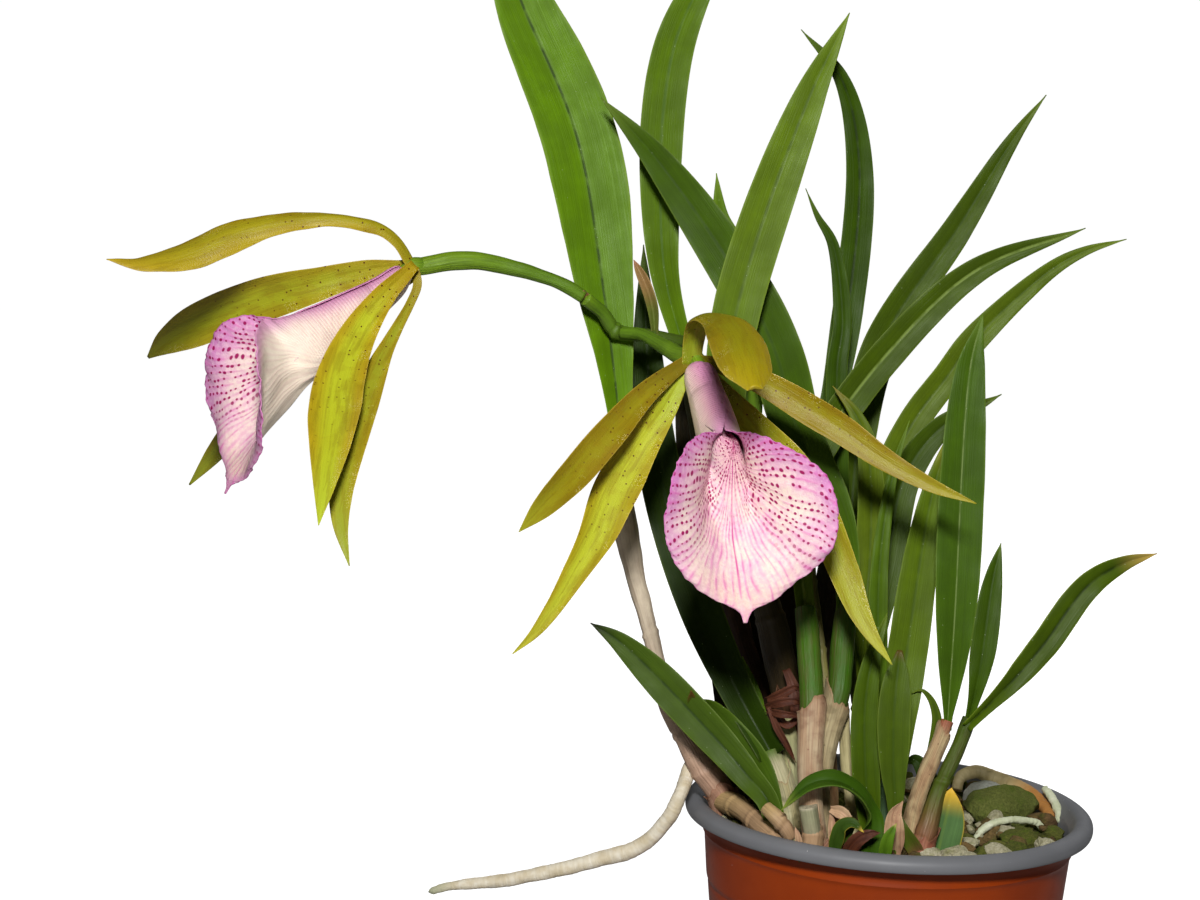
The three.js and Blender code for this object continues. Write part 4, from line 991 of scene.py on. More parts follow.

# Remains among the canes: dark curled husks torn off old growths, withered old leaves at the back
# of the clump whose near-black colour is painted shade behind the lip, two old stubs and dry scraps
# at the front, and the bare jointed rootstock that runs between the tall cane and the front ones.
REMAINS = dict(neck=0.6, peak=0.4, tip=2.2, fold=30, fold_base=40, thick=0.5, edge=0.3, wave=0.5)
husks = [
    ([(-39.8, -24, 127.1), (-36.7, -27, 129.1), (-32.5, -28, 131.7), (-30.1, -26, 130.8)], 3.4),
    ([(-40, -22, 124.4), (-36, -28, 127.4), (-32, -28.5, 128), (-29.3, -26, 126)], 3.2),
    ([(-39.5, -22, 123.3), (-35, -28, 123.8), (-29.3, -26, 123)], 2.6),
    ([(-36.7, -20, 122.2), (-33.5, -25, 120.1), (-29, -22, 123)], 2.8),
    ([(-39.2, -24, 124.7), (-36.8, -25, 119.5), (-33.6, -25, 114.4), (-30.4, -24, 108.6)], 2.4),
    ([(-33.9, -14, 134), (-30.9, -17, 127), (-30.4, -18, 119), (-31, -17, 108)], 5),
    ([(-17.6, -49, 88), (-14.4, -52.5, 94.5), (-11, -53.5, 96.6), (-8, -53, 96.8)], 5),
]
# Withered old leaves behind the lip: dark sheets whose near-black colour is painted shade filling the shadow
# there.
withered = [
    ([(-43, 12, 86), (-45.5, 18, 116), (-50, 21, 140), (-53, 22, 168)], 17),
    ([(-35, 14, 86), (-37.7, 20, 116), (-40, 23, 140), (-43, 24, 166)], 15),
    ([(-27, 14, 86), (-28, 18, 116), (-30, 19, 140), (-31.4, 20, 170)], 17),
    ([(-20, 4, 86), (-21, 7, 116), (-21.5, 9, 140), (-22, 11, 176)], 12),
    ([(-50, 21, 120), (-60, 26, 165), (-66, 30, 203), (-69, 31, 230)], 10),
]
for name, sheets, colours in (
    ("dark husks", husks, ((104, 58, 36), (76, 36, 24), (44, 22, 14))),
    # The withered sheets' near-black browns are painted shade.
    ("withered leaves", withered, ((58, 44, 20), (36, 34, 12), (24, 18, 8))),
):
    skins = [blade(points, width, 40, 15, 500 + k, **REMAINS) for k, (points, width) in enumerate(sheets)]
    show(name, joined(skins), sheath_finish(name, *colours), "cane_shaded")
rootstock = [
    stem([(-50, -12, 93), (-46, -21, 93.6), (-40.4, -34, 92), (-36.4, -42, 90.4), (-32, -47, 88)],
         [3.6, 3.2, 2.8, 2.6, 2], 70, 26, cane_skin(40, [0.2, 0.5, 0.8], 91)),
    stem([(-39.8, -42, 99.6), (-37.4, -44, 98), (-34.6, -45, 95.4), (-32, -44, 91)],
         [1.9, 2.3, 2.2, 1.8], 40, 26, cane_skin(12, [0.5], 92), blunt=1.0),
    stem([(-26.6, -43, 86), (-26.4, -46, 90), (-26.2, -46, 94), (-26.2, -45, 97)],
         [3, 3.3, 3, 2.6], 40, 30, cane_skin(12, [0.3, 0.7], 93), blunt=0.6),
]
rootstock_colours = ((190, 160, 110), (182, 148, 112), (104, 78, 50), (186, 150, 122))
show("rootstock", joined(rootstock), cane_finish("rootstock", *rootstock_colours), "cane_dry")
cut_path = [(-26.4, -46.5, 94), (-27.4, -47, 98.6), (-28.2, -47, 102)]
cut_stub = stem(cut_path, [2.5, 2.6, 2.7], 40, 30, cane_skin(9, [], 94))
cut_finish = cane_finish("cut stub", (166, 160, 128), (158, 156, 122), (58, 62, 36), (200, 190, 160))
show("cut stub", cut_stub, cut_finish, "cane_dry", crease=50)
pale_path = [(-34, -18, 121), (-32.2, -18, 114.8), (-30.6, -18, 104), (-30, -18, 92)]
pale_stub = stem(pale_path, [2.2, 2.6, 2.4, 2], 50, 26)
pale_finish = cane_finish("pale stub", (176, 172, 124), (196, 194, 148), (112, 112, 70), (206, 200, 160))
show("pale stub", pale_stub, pale_finish, "cane_dry")
scraps = [
    ([(-3, -45, 88), (-3.6, -47, 95), (-3.6, -47, 101), (-1.6, -48, 105)], 7.5, 40),
    ([(-19.8, -47, 88), (-21, -48, 95), (-21.8, -48, 101.8)], 3, 30),
    ([(-21.8, -48, 101.8), (-18.7, -50, 101.3), (-15.6, -51, 98.4)], 4, 30),
    ([(-30, -46, 88), (-30.6, -48, 93), (-31.6, -48, 96)], 2.6, 30),
]
skins = []
for k, (points, width, fold) in enumerate(scraps):
    skins.append(blade(points, width, 30, 13, 520 + k, **{**REMAINS, "fold": fold}))
scrap_finish = sheath_finish("dry scraps", (206, 174, 134), (196, 148, 120), (126, 84, 60))
show("dry scraps", joined(skins), scrap_finish, "cane_dry")

# Leaves: thick, stiff straps folded along a sunk midrib, satin green, with veins that run their
# length. Most grow from the top of a cane and clasp it with their folded base, and the rest come
# straight out of the mix at the foot of the clump.
LEAF = dict(
    neck=0.5, peak=0.42, tip=2.7, fold=20, fold_base=46, thick=1.2, edge=0.75, groove=0.28, keel=0.3,
    root=3.5, wave=0.3,
)
# Each by its name, slot, width, course and own shape, then its green and its other looks
leaves = [
    ("leaf_tallest_left", "leaf_green", 25,
     [(-85, 11.2, 194.8), (-92.6, 18, 240), (-103.2, 27, 287), (-121.6, 31, 326), (-128, 31, 342),
      (-135.4, 30, 355)], dict(neck=0.4, peak=0.5, face=(0.25, -1, 0)), (90, 126, 12),
     dict(rib=(36, 58, 8), tip_colour=(84, 116, 14))),
    ("leaf_tall_second", "leaf_deep", 14,
     [(-68.2, 23.2, 225.8), (-75, 26, 250), (-75, 31, 313), (-58, 30, 353)], dict(neck=0.62, peak=0.5),
     (84, 112, 16), dict(rib=(66, 96, 14))),
    ("leaf_crossing", "leaf_green", 17,
     [(-18, -19.6, 156.9), (-19, -17, 171), (-23, -15, 184), (-30, -11, 196), (-35, -5, 207), (-41, 7, 226),
      (-50, 15, 243), (-78, 18, 280), (-96, 15, 298)], dict(neck=0.5, fold_base=40), (62, 88, 12), {}),
    ("leaf_large_centre", "leaf_green", 15.4,
     [(-50.6, -2, 185.9), (-55, 0, 211), (-53, 2, 239), (-35, 10, 300), (-24, 12, 326)], dict(neck=0.72),
     (92, 116, 22), {}),
    ("leaf_behind_centre", "leaf_green", 10,
     [(-49.6, 1, 186), (-48, 14, 210), (-52, 24, 236), (-55, 30, 257), (-58, 31, 264), (-60, 31, 277)],
     dict(neck=0.9, fold_base=24), (88, 118, 18), {}),
    ("leaf_hooked", "leaf_deep", 10,
     [(-27, 8.3, 178.8), (-25, 16, 199), (-21, 21, 217), (-17, 28, 280), (-24, 28, 307), (-37, 26, 321)],
     {}, (52, 76, 6), dict(rib=(30, 48, 4))),
    ("leaf_hooked_short", "leaf_deep", 7,
     [(-13, 5.2, 137.9), (-18, 7, 170), (-22, 10, 221), (-21, 12, 235), (-25, 14, 258), (-30, 14, 266),
      (-34, 13, 274)], {}, (52, 76, 8), {}),
    ("leaf_right_steep", "leaf_green", 12,
     [(-11.4, 8.8, 137.9), (-13, 15, 163), (-14, 22, 186), (-8, 27, 226), (14, 29, 264), (30, 29, 293),
      (38, 28, 305)], {}, (66, 86, 12), {}),
    ("leaf_right_arching", "leaf_green", 11,
     [(-30.2, -22.6, 154.9), (-32, -14, 171), (-31, -6, 186), (-26, -1, 200), (-7, 8, 227), (18, 13, 252),
      (50, 14, 266)], dict(neck=0.62, fold_base=38), (66, 86, 10), dict(rib=(120, 140, 64))),
    ("leaf_right_arching_low", "leaf_green", 10,
     [(-9, -9.4, 126), (-9, 4, 146), (-8, 12, 169), (-4, 16, 190), (3, 18, 206), (12, 20, 219),
      (20, 21, 231), (42, 22, 253), (52, 22, 259), (64, 22, 263)], {}, (86, 106, 16), {}),
    ("leaf_right_bent", "leaf_deep", 11,
     [(-7.6, -12.2, 126), (-8, -8, 146), (-5, -3, 166), (-1, 2, 190), (9, 5, 205), (27, 6, 216)], {},
     (60, 80, 10), {}),
    ("leaf_upright", "leaf_green", 14, [(13, -23, 123.8), (13, -24, 153), (14, -16, 225), (17, -14, 241)],
     dict(widths=[3.6, 9, 12, 13.8, 14, 13.6, 12, 8.5, 0.3]), (64, 92, 16),
     dict(rib=(112, 130, 70), rib_half=0.3)),
    ("leaf_upright_short", "leaf_deep", 8,
     [(18.2, -30.8, 127), (20, -31, 139), (23, -26, 166), (25, -24, 176)], {}, (58, 82, 10), {}),
    ("leaf_right_low", "leaf_green", 9,
     [(19.2, -33.8, 126.6), (28, -35, 137), (37, -33, 148), (50, -29, 166), (60, -26, 172), (70, -24, 175)],
     {}, (64, 84, 6),
     dict(rib=(32, 48, 4), margin=(128, 142, 40), tip_colour=(176, 150, 70), tip_from=0.8)),
    ("leaf_broad_middle", "leaf_olive", 12.6,
     [(-2, -18, 80), (-2, -20, 113), (1, -14, 141), (6, -8, 185), (11, -5, 206)], dict(root=0),
     (84, 106, 18), dict(tip_colour=(150, 150, 50))),
    ("leaf_olive_tip", "leaf_olive", 9,
     [(-11, -14.2, 126), (-12, -13, 150), (-11, -10, 167), (-13, -6, 199), (-17, -4, 209), (-24, -2, 217)],
     {}, (88, 106, 18), dict(tip_colour=(120, 112, 40))),
    ("leaf_narrow_middle", "leaf_green", 6,
     [(-8, -22, 80), (-8, -23, 130), (-9, -19, 169), (-6, -14, 194), (-2, -12, 209)], dict(root=0),
     (74, 100, 16), {}),
    ("leaf_front_broad", "leaf_deep", 8.5,
     [(-8, -41, 80), (-10.2, -41, 98), (-11.8, -41, 110), (-13, -39, 128), (-11.7, -37, 142),
      (-7.6, -34, 156)], dict(root=0), (66, 88, 8), {}),
    ("leaf_front_round_tip", "leaf_deep", 10,
     [(-3.4, -45, 80), (-3.6, -46, 104), (-4.6, -46, 113), (-5.4, -45, 130), (-4.4, -42, 147)],
     dict(tip=5.5, peak=0.6, neck=0.4, widths=[2, 2.4, 3, 5.4, 8, 9.6, 9.8, 8.2, 1.5], root=0),
     (70, 90, 16), dict(tip_colour=(84, 70, 26), tip_from=0.94)),
    ("leaf_left_low", "leaf_green", 11.5,
     [(-36, -34, 92), (-39, -33, 100), (-45, -29, 106), (-54, -25, 115), (-83, -19, 141), (-92, -18, 146)],
     dict(neck=0.65, peak=0.5, root=0), (66, 88, 20), dict(rib=(38, 58, 10), tip_colour=(50, 60, 30))),
    ("leaf_left_shrivelled", "leaf_green", 11,
     [(-35, -28, 92), (-39, -26, 102), (-44, -20, 109), (-50, -17, 115), (-56, -18, 121), (-61, -22, 125),
      (-62, -26, 129)], dict(neck=0.6, root=0), (64, 88, 16), dict(tip_colour=(104, 66, 34), tip_from=0.9)),
    # Its near-black green is painted shade, and it is made broad enough to fill the shadow behind the first
    # flower.
    ("leaf_shaded", "leaf_deep", 14,
     [(-38.4, -18.8, 111.9), (-48, -12, 127), (-60.5, 0, 151), (-70.6, 14, 178), (-76, 26, 201),
      (-79, 35, 228), (-81, 38, 254)], dict(neck=0.85), (36, 54, 6), {}),
    ("leaf_small_arching", "leaf_green", 8.5,
     [(-9.6, -48, 84), (-10.2, -48, 98), (-12.4, -49.5, 104), (-17, -51, 108.6), (-23, -52, 110.6),
      (-29, -52, 108.8), (-36, -51, 101.4)], dict(neck=0.8, face=(0, -0.4, 1), root=0), (54, 84, 12),
     dict(tip_colour=(134, 150, 60), tip_from=0.84)),
    ("leaf_yellow", "leaf_yellow", 12,
     [(10.2, -34.6, 80), (11.4, -35, 90), (12.6, -35, 97), (13.8, -34.6, 106)],
     dict(neck=0.7, fold=10, root=0, fold_base=14), (84, 116, 66),
     dict(rib=(100, 126, 60), margin=(212, 176, 60), tip_colour=(220, 176, 56), tip_from=0.66)),
    ("small_curved_leaf", "leaf_green", 3.6,
     [(7, -19, 86), (9, -19.5, 106), (10.3, -20, 120), (10, -20, 124), (8, -20, 128.6), (5.2, -20, 131),
      (2.6, -19, 129.7)], dict(wave=0.1, fold=10), (78, 98, 18), {}),
    ("small_dark_leaf", "leaf_green", 7,
     [(14, 4, 84), (13.4, 2, 95), (11, 1, 101.4), (7.6, 2, 104.6), (5, 4, 103)],
     dict(face=(-0.5, -0.8, 0.4)), (44, 64, 14), {}),
    ("small_yellowing_leaf", "leaf_green", 4.4,
     [(-20.6, -49, 86), (-20, -50, 93), (-18.6, -52, 98), (-16, -53, 99.2), (-12.8, -54, 97)],
     dict(face=(0, -0.8, 0.5)), (56, 80, 22), dict(margin=(190, 170, 60), tip_colour=(206, 176, 70))),
    ("small_green_leaf", "leaf_green", 4,
     [(-6.6, -51, 86), (-6.4, -53, 92), (-5.8, -54, 96), (-3.8, -54, 100)], {}, (84, 118, 24),
     dict(tip_colour=(176, 170, 90))),
    ("bluish_leaf", "leaf_green", 3.4,
     [(-4.6, -32, 84), (-5, -32, 93), (-5.7, -32, 100.4), (-5.6, -31, 108)], {}, (84, 110, 78),
     dict(tip_colour=(110, 130, 100))),
    ("bright_low_leaf", "leaf_green", 9, [(-38, -6, 84), (-40, -4, 100), (-42, -2, 116), (-46, 2, 134)],
     dict(face=(0.3, -1, 0.2)), (96, 132, 24), {}),
]


def mellowed(colour, share=0.35, toward=(160, 176, 90)):
    """A colour moved some way toward another, which is a dull yellow-green unless it is given."""
    return tuple(int(c + (w - c) * share) for c, w in zip(colour, toward))


def leaf_finish(name, colour, rib=None, margin=None, tip_colour=None, tip_from=0.88, rib_half=0.7):
    """Living leaf: satin cuticle with fine veins, mottling, a midrib line and dust."""
    rib = rib or mellowed(colour, 0.35, (30, 50, 8))
    margin = margin or mellowed(colour)
    tip_colour = tip_colour or mellowed(colour, 0.3)
    material, tree, shader = new_finish(name, 0.4, 0.12)
    lie, parts = marks_of(tree, "lie")
    _, share = marks_of(tree, "share")
    flat = laid_flat(parts)
    veins = grain(lie, 0.32, 60.0)
    bands = grain(lie, 2.2, 45.0)
    mottle = patches(lie, 9.0)
    fine = patches(lie, 0.35)
    dust = flat_specks(flat, 4.0, 0.1, 0.04)
    green = screen(*colour)
    light = tuple(min(1.0, c * 1.5) for c in green[:3]) + (1,)
    deep = tuple(c * 0.62 for c in green[:3]) + (1,)
    pale = mellowed(colour, 0.2, (130, 150, 70))
    base = tint(bands * 0.5, green, light)
    base = tint(mottle * 0.5, base, deep)
    base = tint(veins * 0.25, base, deep)
    base = tint(ease(share[1], 0.16, 0.0, 0.0, 0.55), base, light)
    under = ease(share[2], 0.3, -0.3)
    base = tint(under * 0.5, base, pale)
    off = abs(parts[0])
    line = ease(off, rib_half, 0.12) * (1.0 - under)
    line = line * ease(mottle, 0.2, 0.6, 0.4, 1.0)
    base = tint(line * 0.85, base, rib)
    edge = ease(abs(share[0]), 0.9, 1.0)
    base = tint(edge * 0.7, base, margin)
    base = tint(ease(share[1], tip_from, 1.0), base, tip_colour)
    base = tint(dust * 0.35, base, (196, 206, 170))
    rough = scaled(mottle, 0.12, scaled(veins, 0.1, 0.34))
    relief = scaled(fine, 0.25, veins)
    feed(shader, base, rough, relief, 0.05, 0.7)
    return material


for k, (name, slot, width, points, shape, colour, looks) in enumerate(leaves):
    finish = leaf_finish(name, colour, **looks)
    replaced = [name] if name.startswith("leaf_") else []
    show(name, blade(points, width, 84, 25, 200 + k, **{**LEAF, **shape}), finish, slot, *replaced)

# Flowering stem and the stalks of the two flowers: round satin green shoots. The stem has a node
# with a torn brown bract, and a blunt pinkish sheath stands at its foot.
STEM_POINTS = [
    (-67.3, 19.6, 226), (-70, 17, 226.5), (-78, 14, 228), (-88, 12, 229), (-93, 9, 235), (-98, 5, 239),
]
BLUNT_POINTS = [(-76.5, 14, 227), (-77.6, 14, 236), (-80, 14, 243), (-84, 15.5, 250.4)]
BLUNT_SHAPE = dict(neck=0.6, tip=4, thick=1.2, edge=0.8, fold=50)
BRACT_POINTS = [(-94.6, 9.5, 234.6), (-97, 6.6, 238.4), (-98.6, 3, 241.4)]
# The centre of each flower, and the way it looks as an angle from the viewer's side
FLOWER_1 = ((-65, -26, 225), 15)
FLOWER_2 = ((-149, -10, 247), -63)


def flower_ways(flower):
    """A flower's centre and its own forward and right directions; its up is the pot's."""
    centre, angle = flower
    a = math.radians(angle)
    forward = np.array([math.sin(a), -math.cos(a), 0])
    right = np.array([math.cos(a), math.sin(a), 0])
    return np.array(centre, float), forward, right


def in_flower(flower, ahead, up, aside):
    """A place given by how far it is forward, up and to the right of the flower's centre."""
    centre, forward, right = flower_ways(flower)
    above = np.array([0, 0, 1.0])
    lift = lambda values, way: np.asarray(values, float)[..., None] * way
    return centre + lift(ahead, forward) + lift(up, above) + lift(aside, right)


def stalk_points(flower, outside):
    """A stalk's course: the part outside its flower, then the ovary and column inside it."""
    inside = ((-4, 0), (-1, -0.4), (2, -2.2), (8, -8), (15, -15))
    return [*outside, *[in_flower(flower, ahead, up, 0) for ahead, up in inside]]


def collar(flower):
    """The swelling at a stalk's end that the sepals, petals and lip spring from."""
    course = ((-5, 0.2), (-2.8, 0.2), (-0.8, -0.1), (1.4, -1.2))
    points = [in_flower(flower, ahead, up, 0) for ahead, up in course]
    return stem(points, [2.1, 2.4, 2.6, 2.4, 2], 30, 26, blunt=0.8)


stalk_finish = cane_finish(
    "flower stalk", (96, 132, 22), (128, 160, 26), (64, 88, 16), (176, 190, 90), (0.1, 0.9)
)
stem_finish = cane_finish(
    "flower stem", (72, 96, 20), (92, 128, 22), (52, 56, 18), (110, 146, 26), (0.1, 0.9)
)
flower_stem = stem(STEM_POINTS, [1.9, 2, 2, 2.3, 1.9, 2.1], 90, 26, cane_skin(38, [0.62], 81, 0))
show("flower stem", flower_stem, stem_finish, "flower_stalk", "flower_stem")
blunt_finish = cane_finish(
    "blunt sheath", (96, 112, 34), (158, 124, 74), (90, 66, 34), (188, 132, 106), (0.3, 0.7)
)
blunt = blade(BLUNT_POINTS, 5.4, 40, 17, 5, **{**SHOOT, **BLUNT_SHAPE})
show("blunt sheath", blunt, blunt_finish, "flower_stalk")
bract_finish = sheath_finish("bract", (196, 158, 104), (150, 100, 60), (80, 48, 30))
bract = blade(BRACT_POINTS, 3.4, 24, 11, 540, **{**SHOOT, "thick": 0.4, "edge": 0.25})
show("bracts", bract, bract_finish, "cane_dry")
stalks = [
    ("flower_1_stalk", FLOWER_1, 60, [1.7, 1.8, 2, 2.4, 2.6, 2.6, 2, 1.9, 2.2],
     [(-86.5, 9.5, 229), (-81, 5, 229), (-75, -4, 227), (-70, -14, 225)]),
    ("flower_2_stalk", FLOWER_2, 76, [2, 1.9, 2.1, 2.4, 2.6, 2.8, 2.6, 2, 1.9, 2.2],
     [(-98.6, 4.7, 239.5), (-104, 3.6, 242.5), (-111, 2, 245), (-123, -1, 248), (-135, -5, 249)]),
]
for k, (name, flower, length, radii, outside) in enumerate(stalks):
    stalk = stem(stalk_points(flower, outside), radii, 110, 26, cane_skin(length, [], 83 + k, 6), 1.2)
    show(name, joined([stalk, collar(flower)]), stalk_finish, "flower_stalk", name)

# Sepals and petals: five narrow fleshy straps round each flower, golden olive to yellow-green,
# with brown specks, a skin of tiny blisters that glint, and painted glints of pale gold. They
# spring from round the column.
PETAL = dict(fold=18, thick=1.0, edge=0.6, cupped=True, wave=0.3, groove=0.12, keel=0.2, root=2.5)
# Each by its name, width, course, widths and shape, then its colour at the margins, down the middle,
# at the foot and at the tip
petals = [
    ("flower_1_petal_left", 9.6,
     [(-69, -27.5, 223.8), (-73.9, -32, 220.4), (-79.8, -38, 215.7), (-89, -51, 206), (-97.6, -62, 196.4),
      (-104.4, -73, 190), (-111.9, -85, 182.7)], [4, 5.8, 7.4, 8.8, 9.6, 9.5, 8.4, 6, 0.3], {},
     ((138, 118, 14), (148, 138, 20), (118, 104, 16), (156, 154, 34))),
    ("flower_1_petal_right", 9,
     [(-64.7, -26, 224.9), (-58, -29, 223.9), (-51.5, -31, 222), (-44.3, -33, 219.1), (-34.1, -36, 213.9),
      (-24.1, -39, 208.6), (-12.1, -43, 201.2), (1, -47, 195), (13.1, -52, 191.1)],
     [3.5, 5.8, 7.8, 9, 8.8, 7.4, 5.6, 3.6, 0.3], {},
     ((144, 124, 12), (150, 138, 18), (146, 144, 24), (164, 154, 36))),
    ("flower_1_sepal_top", 15.6,
     [(-66.8, -27, 225.9), (-66.6, -28, 231.2), (-65.9, -33, 236.7), (-61, -48, 239.5), (-57.2, -68, 237.1),
      (-54.7, -85, 231.9), (-52.4, -99, 225)], [6, 7.4, 8.4, 10.5, 13.5, 15.4, 15.6, 13.5, 4],
     dict(face=(0.3, -0.95, 0), face_tip=(0, 0.3, -1)),
     ((156, 136, 12), (146, 138, 16), (136, 150, 30), (168, 148, 16))),
    ("flower_1_sepal_low_left", 13.6,
     [(-69, -27, 220.5), (-73.1, -31, 212.3), (-79.7, -37, 201.8), (-86.9, -46, 189), (-91.2, -54, 178.5),
      (-96.6, -62, 169), (-102.4, -71, 159.8), (-106.9, -77, 154.1), (-112.3, -83, 149.4)],
     [4.5, 7.6, 10.6, 13.4, 12.2, 8.8, 6, 3.8, 0.3], {},
     ((168, 154, 22), (184, 190, 44), (162, 178, 42), (182, 176, 50))),
    ("flower_1_sepal_low_right", 12,
     [(-63.5, -26, 222.1), (-56.9, -30, 214.4), (-48, -35, 205.9), (-37.7, -39, 196.8), (-29.6, -44, 185.6),
      (-22.1, -48, 170), (-17.7, -51, 159.9), (-13.8, -53, 153.2), (-7.8, -55, 145.3)],
     [5, 9, 11.6, 12, 11, 9.6, 8.4, 5, 0.3], {},
     ((152, 148, 20), (160, 162, 30), (112, 116, 14), (182, 182, 60))),
    ("flower_2_petal_far", 14,
     [(-152, -7.5, 246.8), (-160.7, -5.5, 245.2), (-168.3, -4, 242.8), (-175.9, -3, 240.2),
      (-183.7, -1, 237.7), (-191.7, 2.5, 234.9), (-199.7, 6, 231.6), (-207.8, 10, 228), (-216.2, 15, 223.7),
      (-224.6, 22, 218.4), (-230.8, 28, 213.2)], [3.5, 7, 10, 12.8, 14, 14, 12.5, 8, 1], {},
     ((166, 152, 26), (166, 168, 32), (168, 152, 30), (148, 146, 26))),
    ("flower_2_petal_near", 15,
     [(-147.9, -14.6, 247), (-151, -18, 243.6), (-154.5, -21.6, 239.6), (-159, -27.6, 232.6),
      (-162.3, -35, 225.4), (-164.2, -45, 217), (-164.2, -56, 209.6), (-163.9, -68, 202.7),
      (-163.7, -83, 193), (-164, -93, 183.3)], [3.6, 6.8, 10, 12.9, 15, 14.8, 11.4, 6.6, 0.3], dict(root=1),
     ((184, 160, 24), (188, 194, 38), (168, 140, 20), (176, 190, 44))),
    ("flower_2_sepal_top", 12.5,
     [(-149, -10, 248.9), (-152.1, -11.5, 253.8), (-156.6, -13, 257.4), (-161.9, -15, 259.1),
      (-170, -17, 260.2), (-177.8, -18.5, 259.8), (-185.4, -21, 258.7), (-194.9, -24.5, 256.3),
      (-201.5, -27.5, 253.6), (-208.2, -30.5, 250.4), (-214.7, -34, 247.9), (-222.5, -39, 246.3),
      (-230.3, -44, 247.1)], [5, 5, 5.4, 6.8, 9.2, 12, 12, 8, 0.3],
     dict(face=(-0.75, 0.45, -0.45), face_tip=(0, 0.5, -0.87)),
     ((176, 154, 20), (164, 152, 24), (154, 142, 24), (180, 152, 30))),
    ("flower_2_sepal_low_near", 9.4,
     [(-147.5, -11, 246.4), (-146.3, -13, 242), (-147.8, -16, 237), (-151, -22, 229.9),
      (-154.1, -29, 222.7), (-156.8, -40, 213.9), (-158.7, -52, 205.9), (-160, -64, 196.8),
      (-160.4, -73, 188.2), (-159.5, -79, 180.9), (-156.4, -85, 171.5)],
     [2.8, 2.8, 4.4, 7.2, 9.2, 9.4, 8, 5, 0.3], {},
     ((166, 150, 28), (156, 158, 34), (150, 132, 24), (150, 160, 40))),
    ("flower_2_sepal_low_far", 10,
     [(-150.1, -7, 242.9), (-158.9, -4, 236.1), (-172.1, 3, 225.5), (-184.1, 11, 213.5),
      (-195.8, 18, 201.5), (-205.2, 24, 190.2), (-211.9, 28, 181.5), (-217.7, 31, 174)],
     [4, 6, 8, 9.4, 10, 9.6, 8, 5.4, 0.6], {},
     ((150, 142, 28), (146, 150, 32), (140, 130, 24), (140, 146, 36))),
]


def petal_finish(name, margin, middle, foot, end):
    """Petal skin: golden margins, a greener middle, brown streaks and flecks, glinting blisters and painted
    glints.
    """
    material, tree, shader = new_finish(name, 0.35, 0.3)
    lie, parts = marks_of(tree, "lie")
    _, share = marks_of(tree, "share")
    flat = laid_flat(parts)
    veins = grain(lie, 0.6, 40.0)
    streaks = grain(lie, 2.0, 16.0)
    broad = patches(lie, 9.0)
    blisters = patches(lie, 0.45)
    brown = flat_specks(flat, 2.2, 0.2, 0.16)
    tiny = flat_specks(flat, 0.9, 0.2, 0.16)
    # Pale gold specks for painted glints: they stand in for sparkling highlights on the blisters.
    painted_glints = flat_specks(flat, 0.5, 0.5, 0.3)
    away = abs(share[0])
    base = tint(ease(away, 0.2, 0.9), middle, margin)
    base = tint(ease(share[1], 0.7, 1.0, 0.0, 0.9), base, end)
    base = tint(ease(share[1], 0.24, 0.02, 0.0, 0.9), base, foot)
    stain = ease(broad, 0.45, 0.75) * ease(share[1], 0.85, 0.55)
    base = tint(stain * 0.2, base, (140, 98, 12))
    base = tint(ease(streaks, 0.5, 0.8) * 0.28, base, (130, 104, 12))
    base = tint(veins * 0.16, base, (110, 100, 14))
    base = tint(ease(away, 0.93, 1.0, 0.0, 0.5), base, (206, 176, 70))
    near_foot = ease(share[1], 0.9, 0.25, 0.1, 1.0)
    tiny = tiny * ease(broad, 0.5, 0.7)
    spots = calc("MAXIMUM", brown, tiny) * near_foot
    base = tint(spots, base, (84, 38, 8))
    # Painted glints on one side of each strap, in patches that are also made less rough.
    glossy_and_painted_glint_patch = ease(broad, 0.5, 0.3) * ease(share[0], -0.1, -0.8)
    base = tint(painted_glints * glossy_and_painted_glint_patch * 0.55, base, (246, 232, 160))
    rough = scaled(glossy_and_painted_glint_patch, -0.14, scaled(blisters, 0.12, 0.36))
    relief = scaled(veins, 0.6, blisters * 0.5)
    feed(shader, base, rough, relief, 0.1, 0.8)
    return material


for k, (name, width, points, widths, shape, colours) in enumerate(petals):
    skin = blade(points, width, 84, 25, 300 + k, widths=widths, **{**PETAL, **shape})
    show(name, skin, petal_finish(name, *colours), "flower_sepal", name)

# Lips: the showy third petal, rolled into a tube round the column and spread into a broad blade
# with a ruffled, finely toothed margin. Cream with rows of magenta dots along its fanned veins.

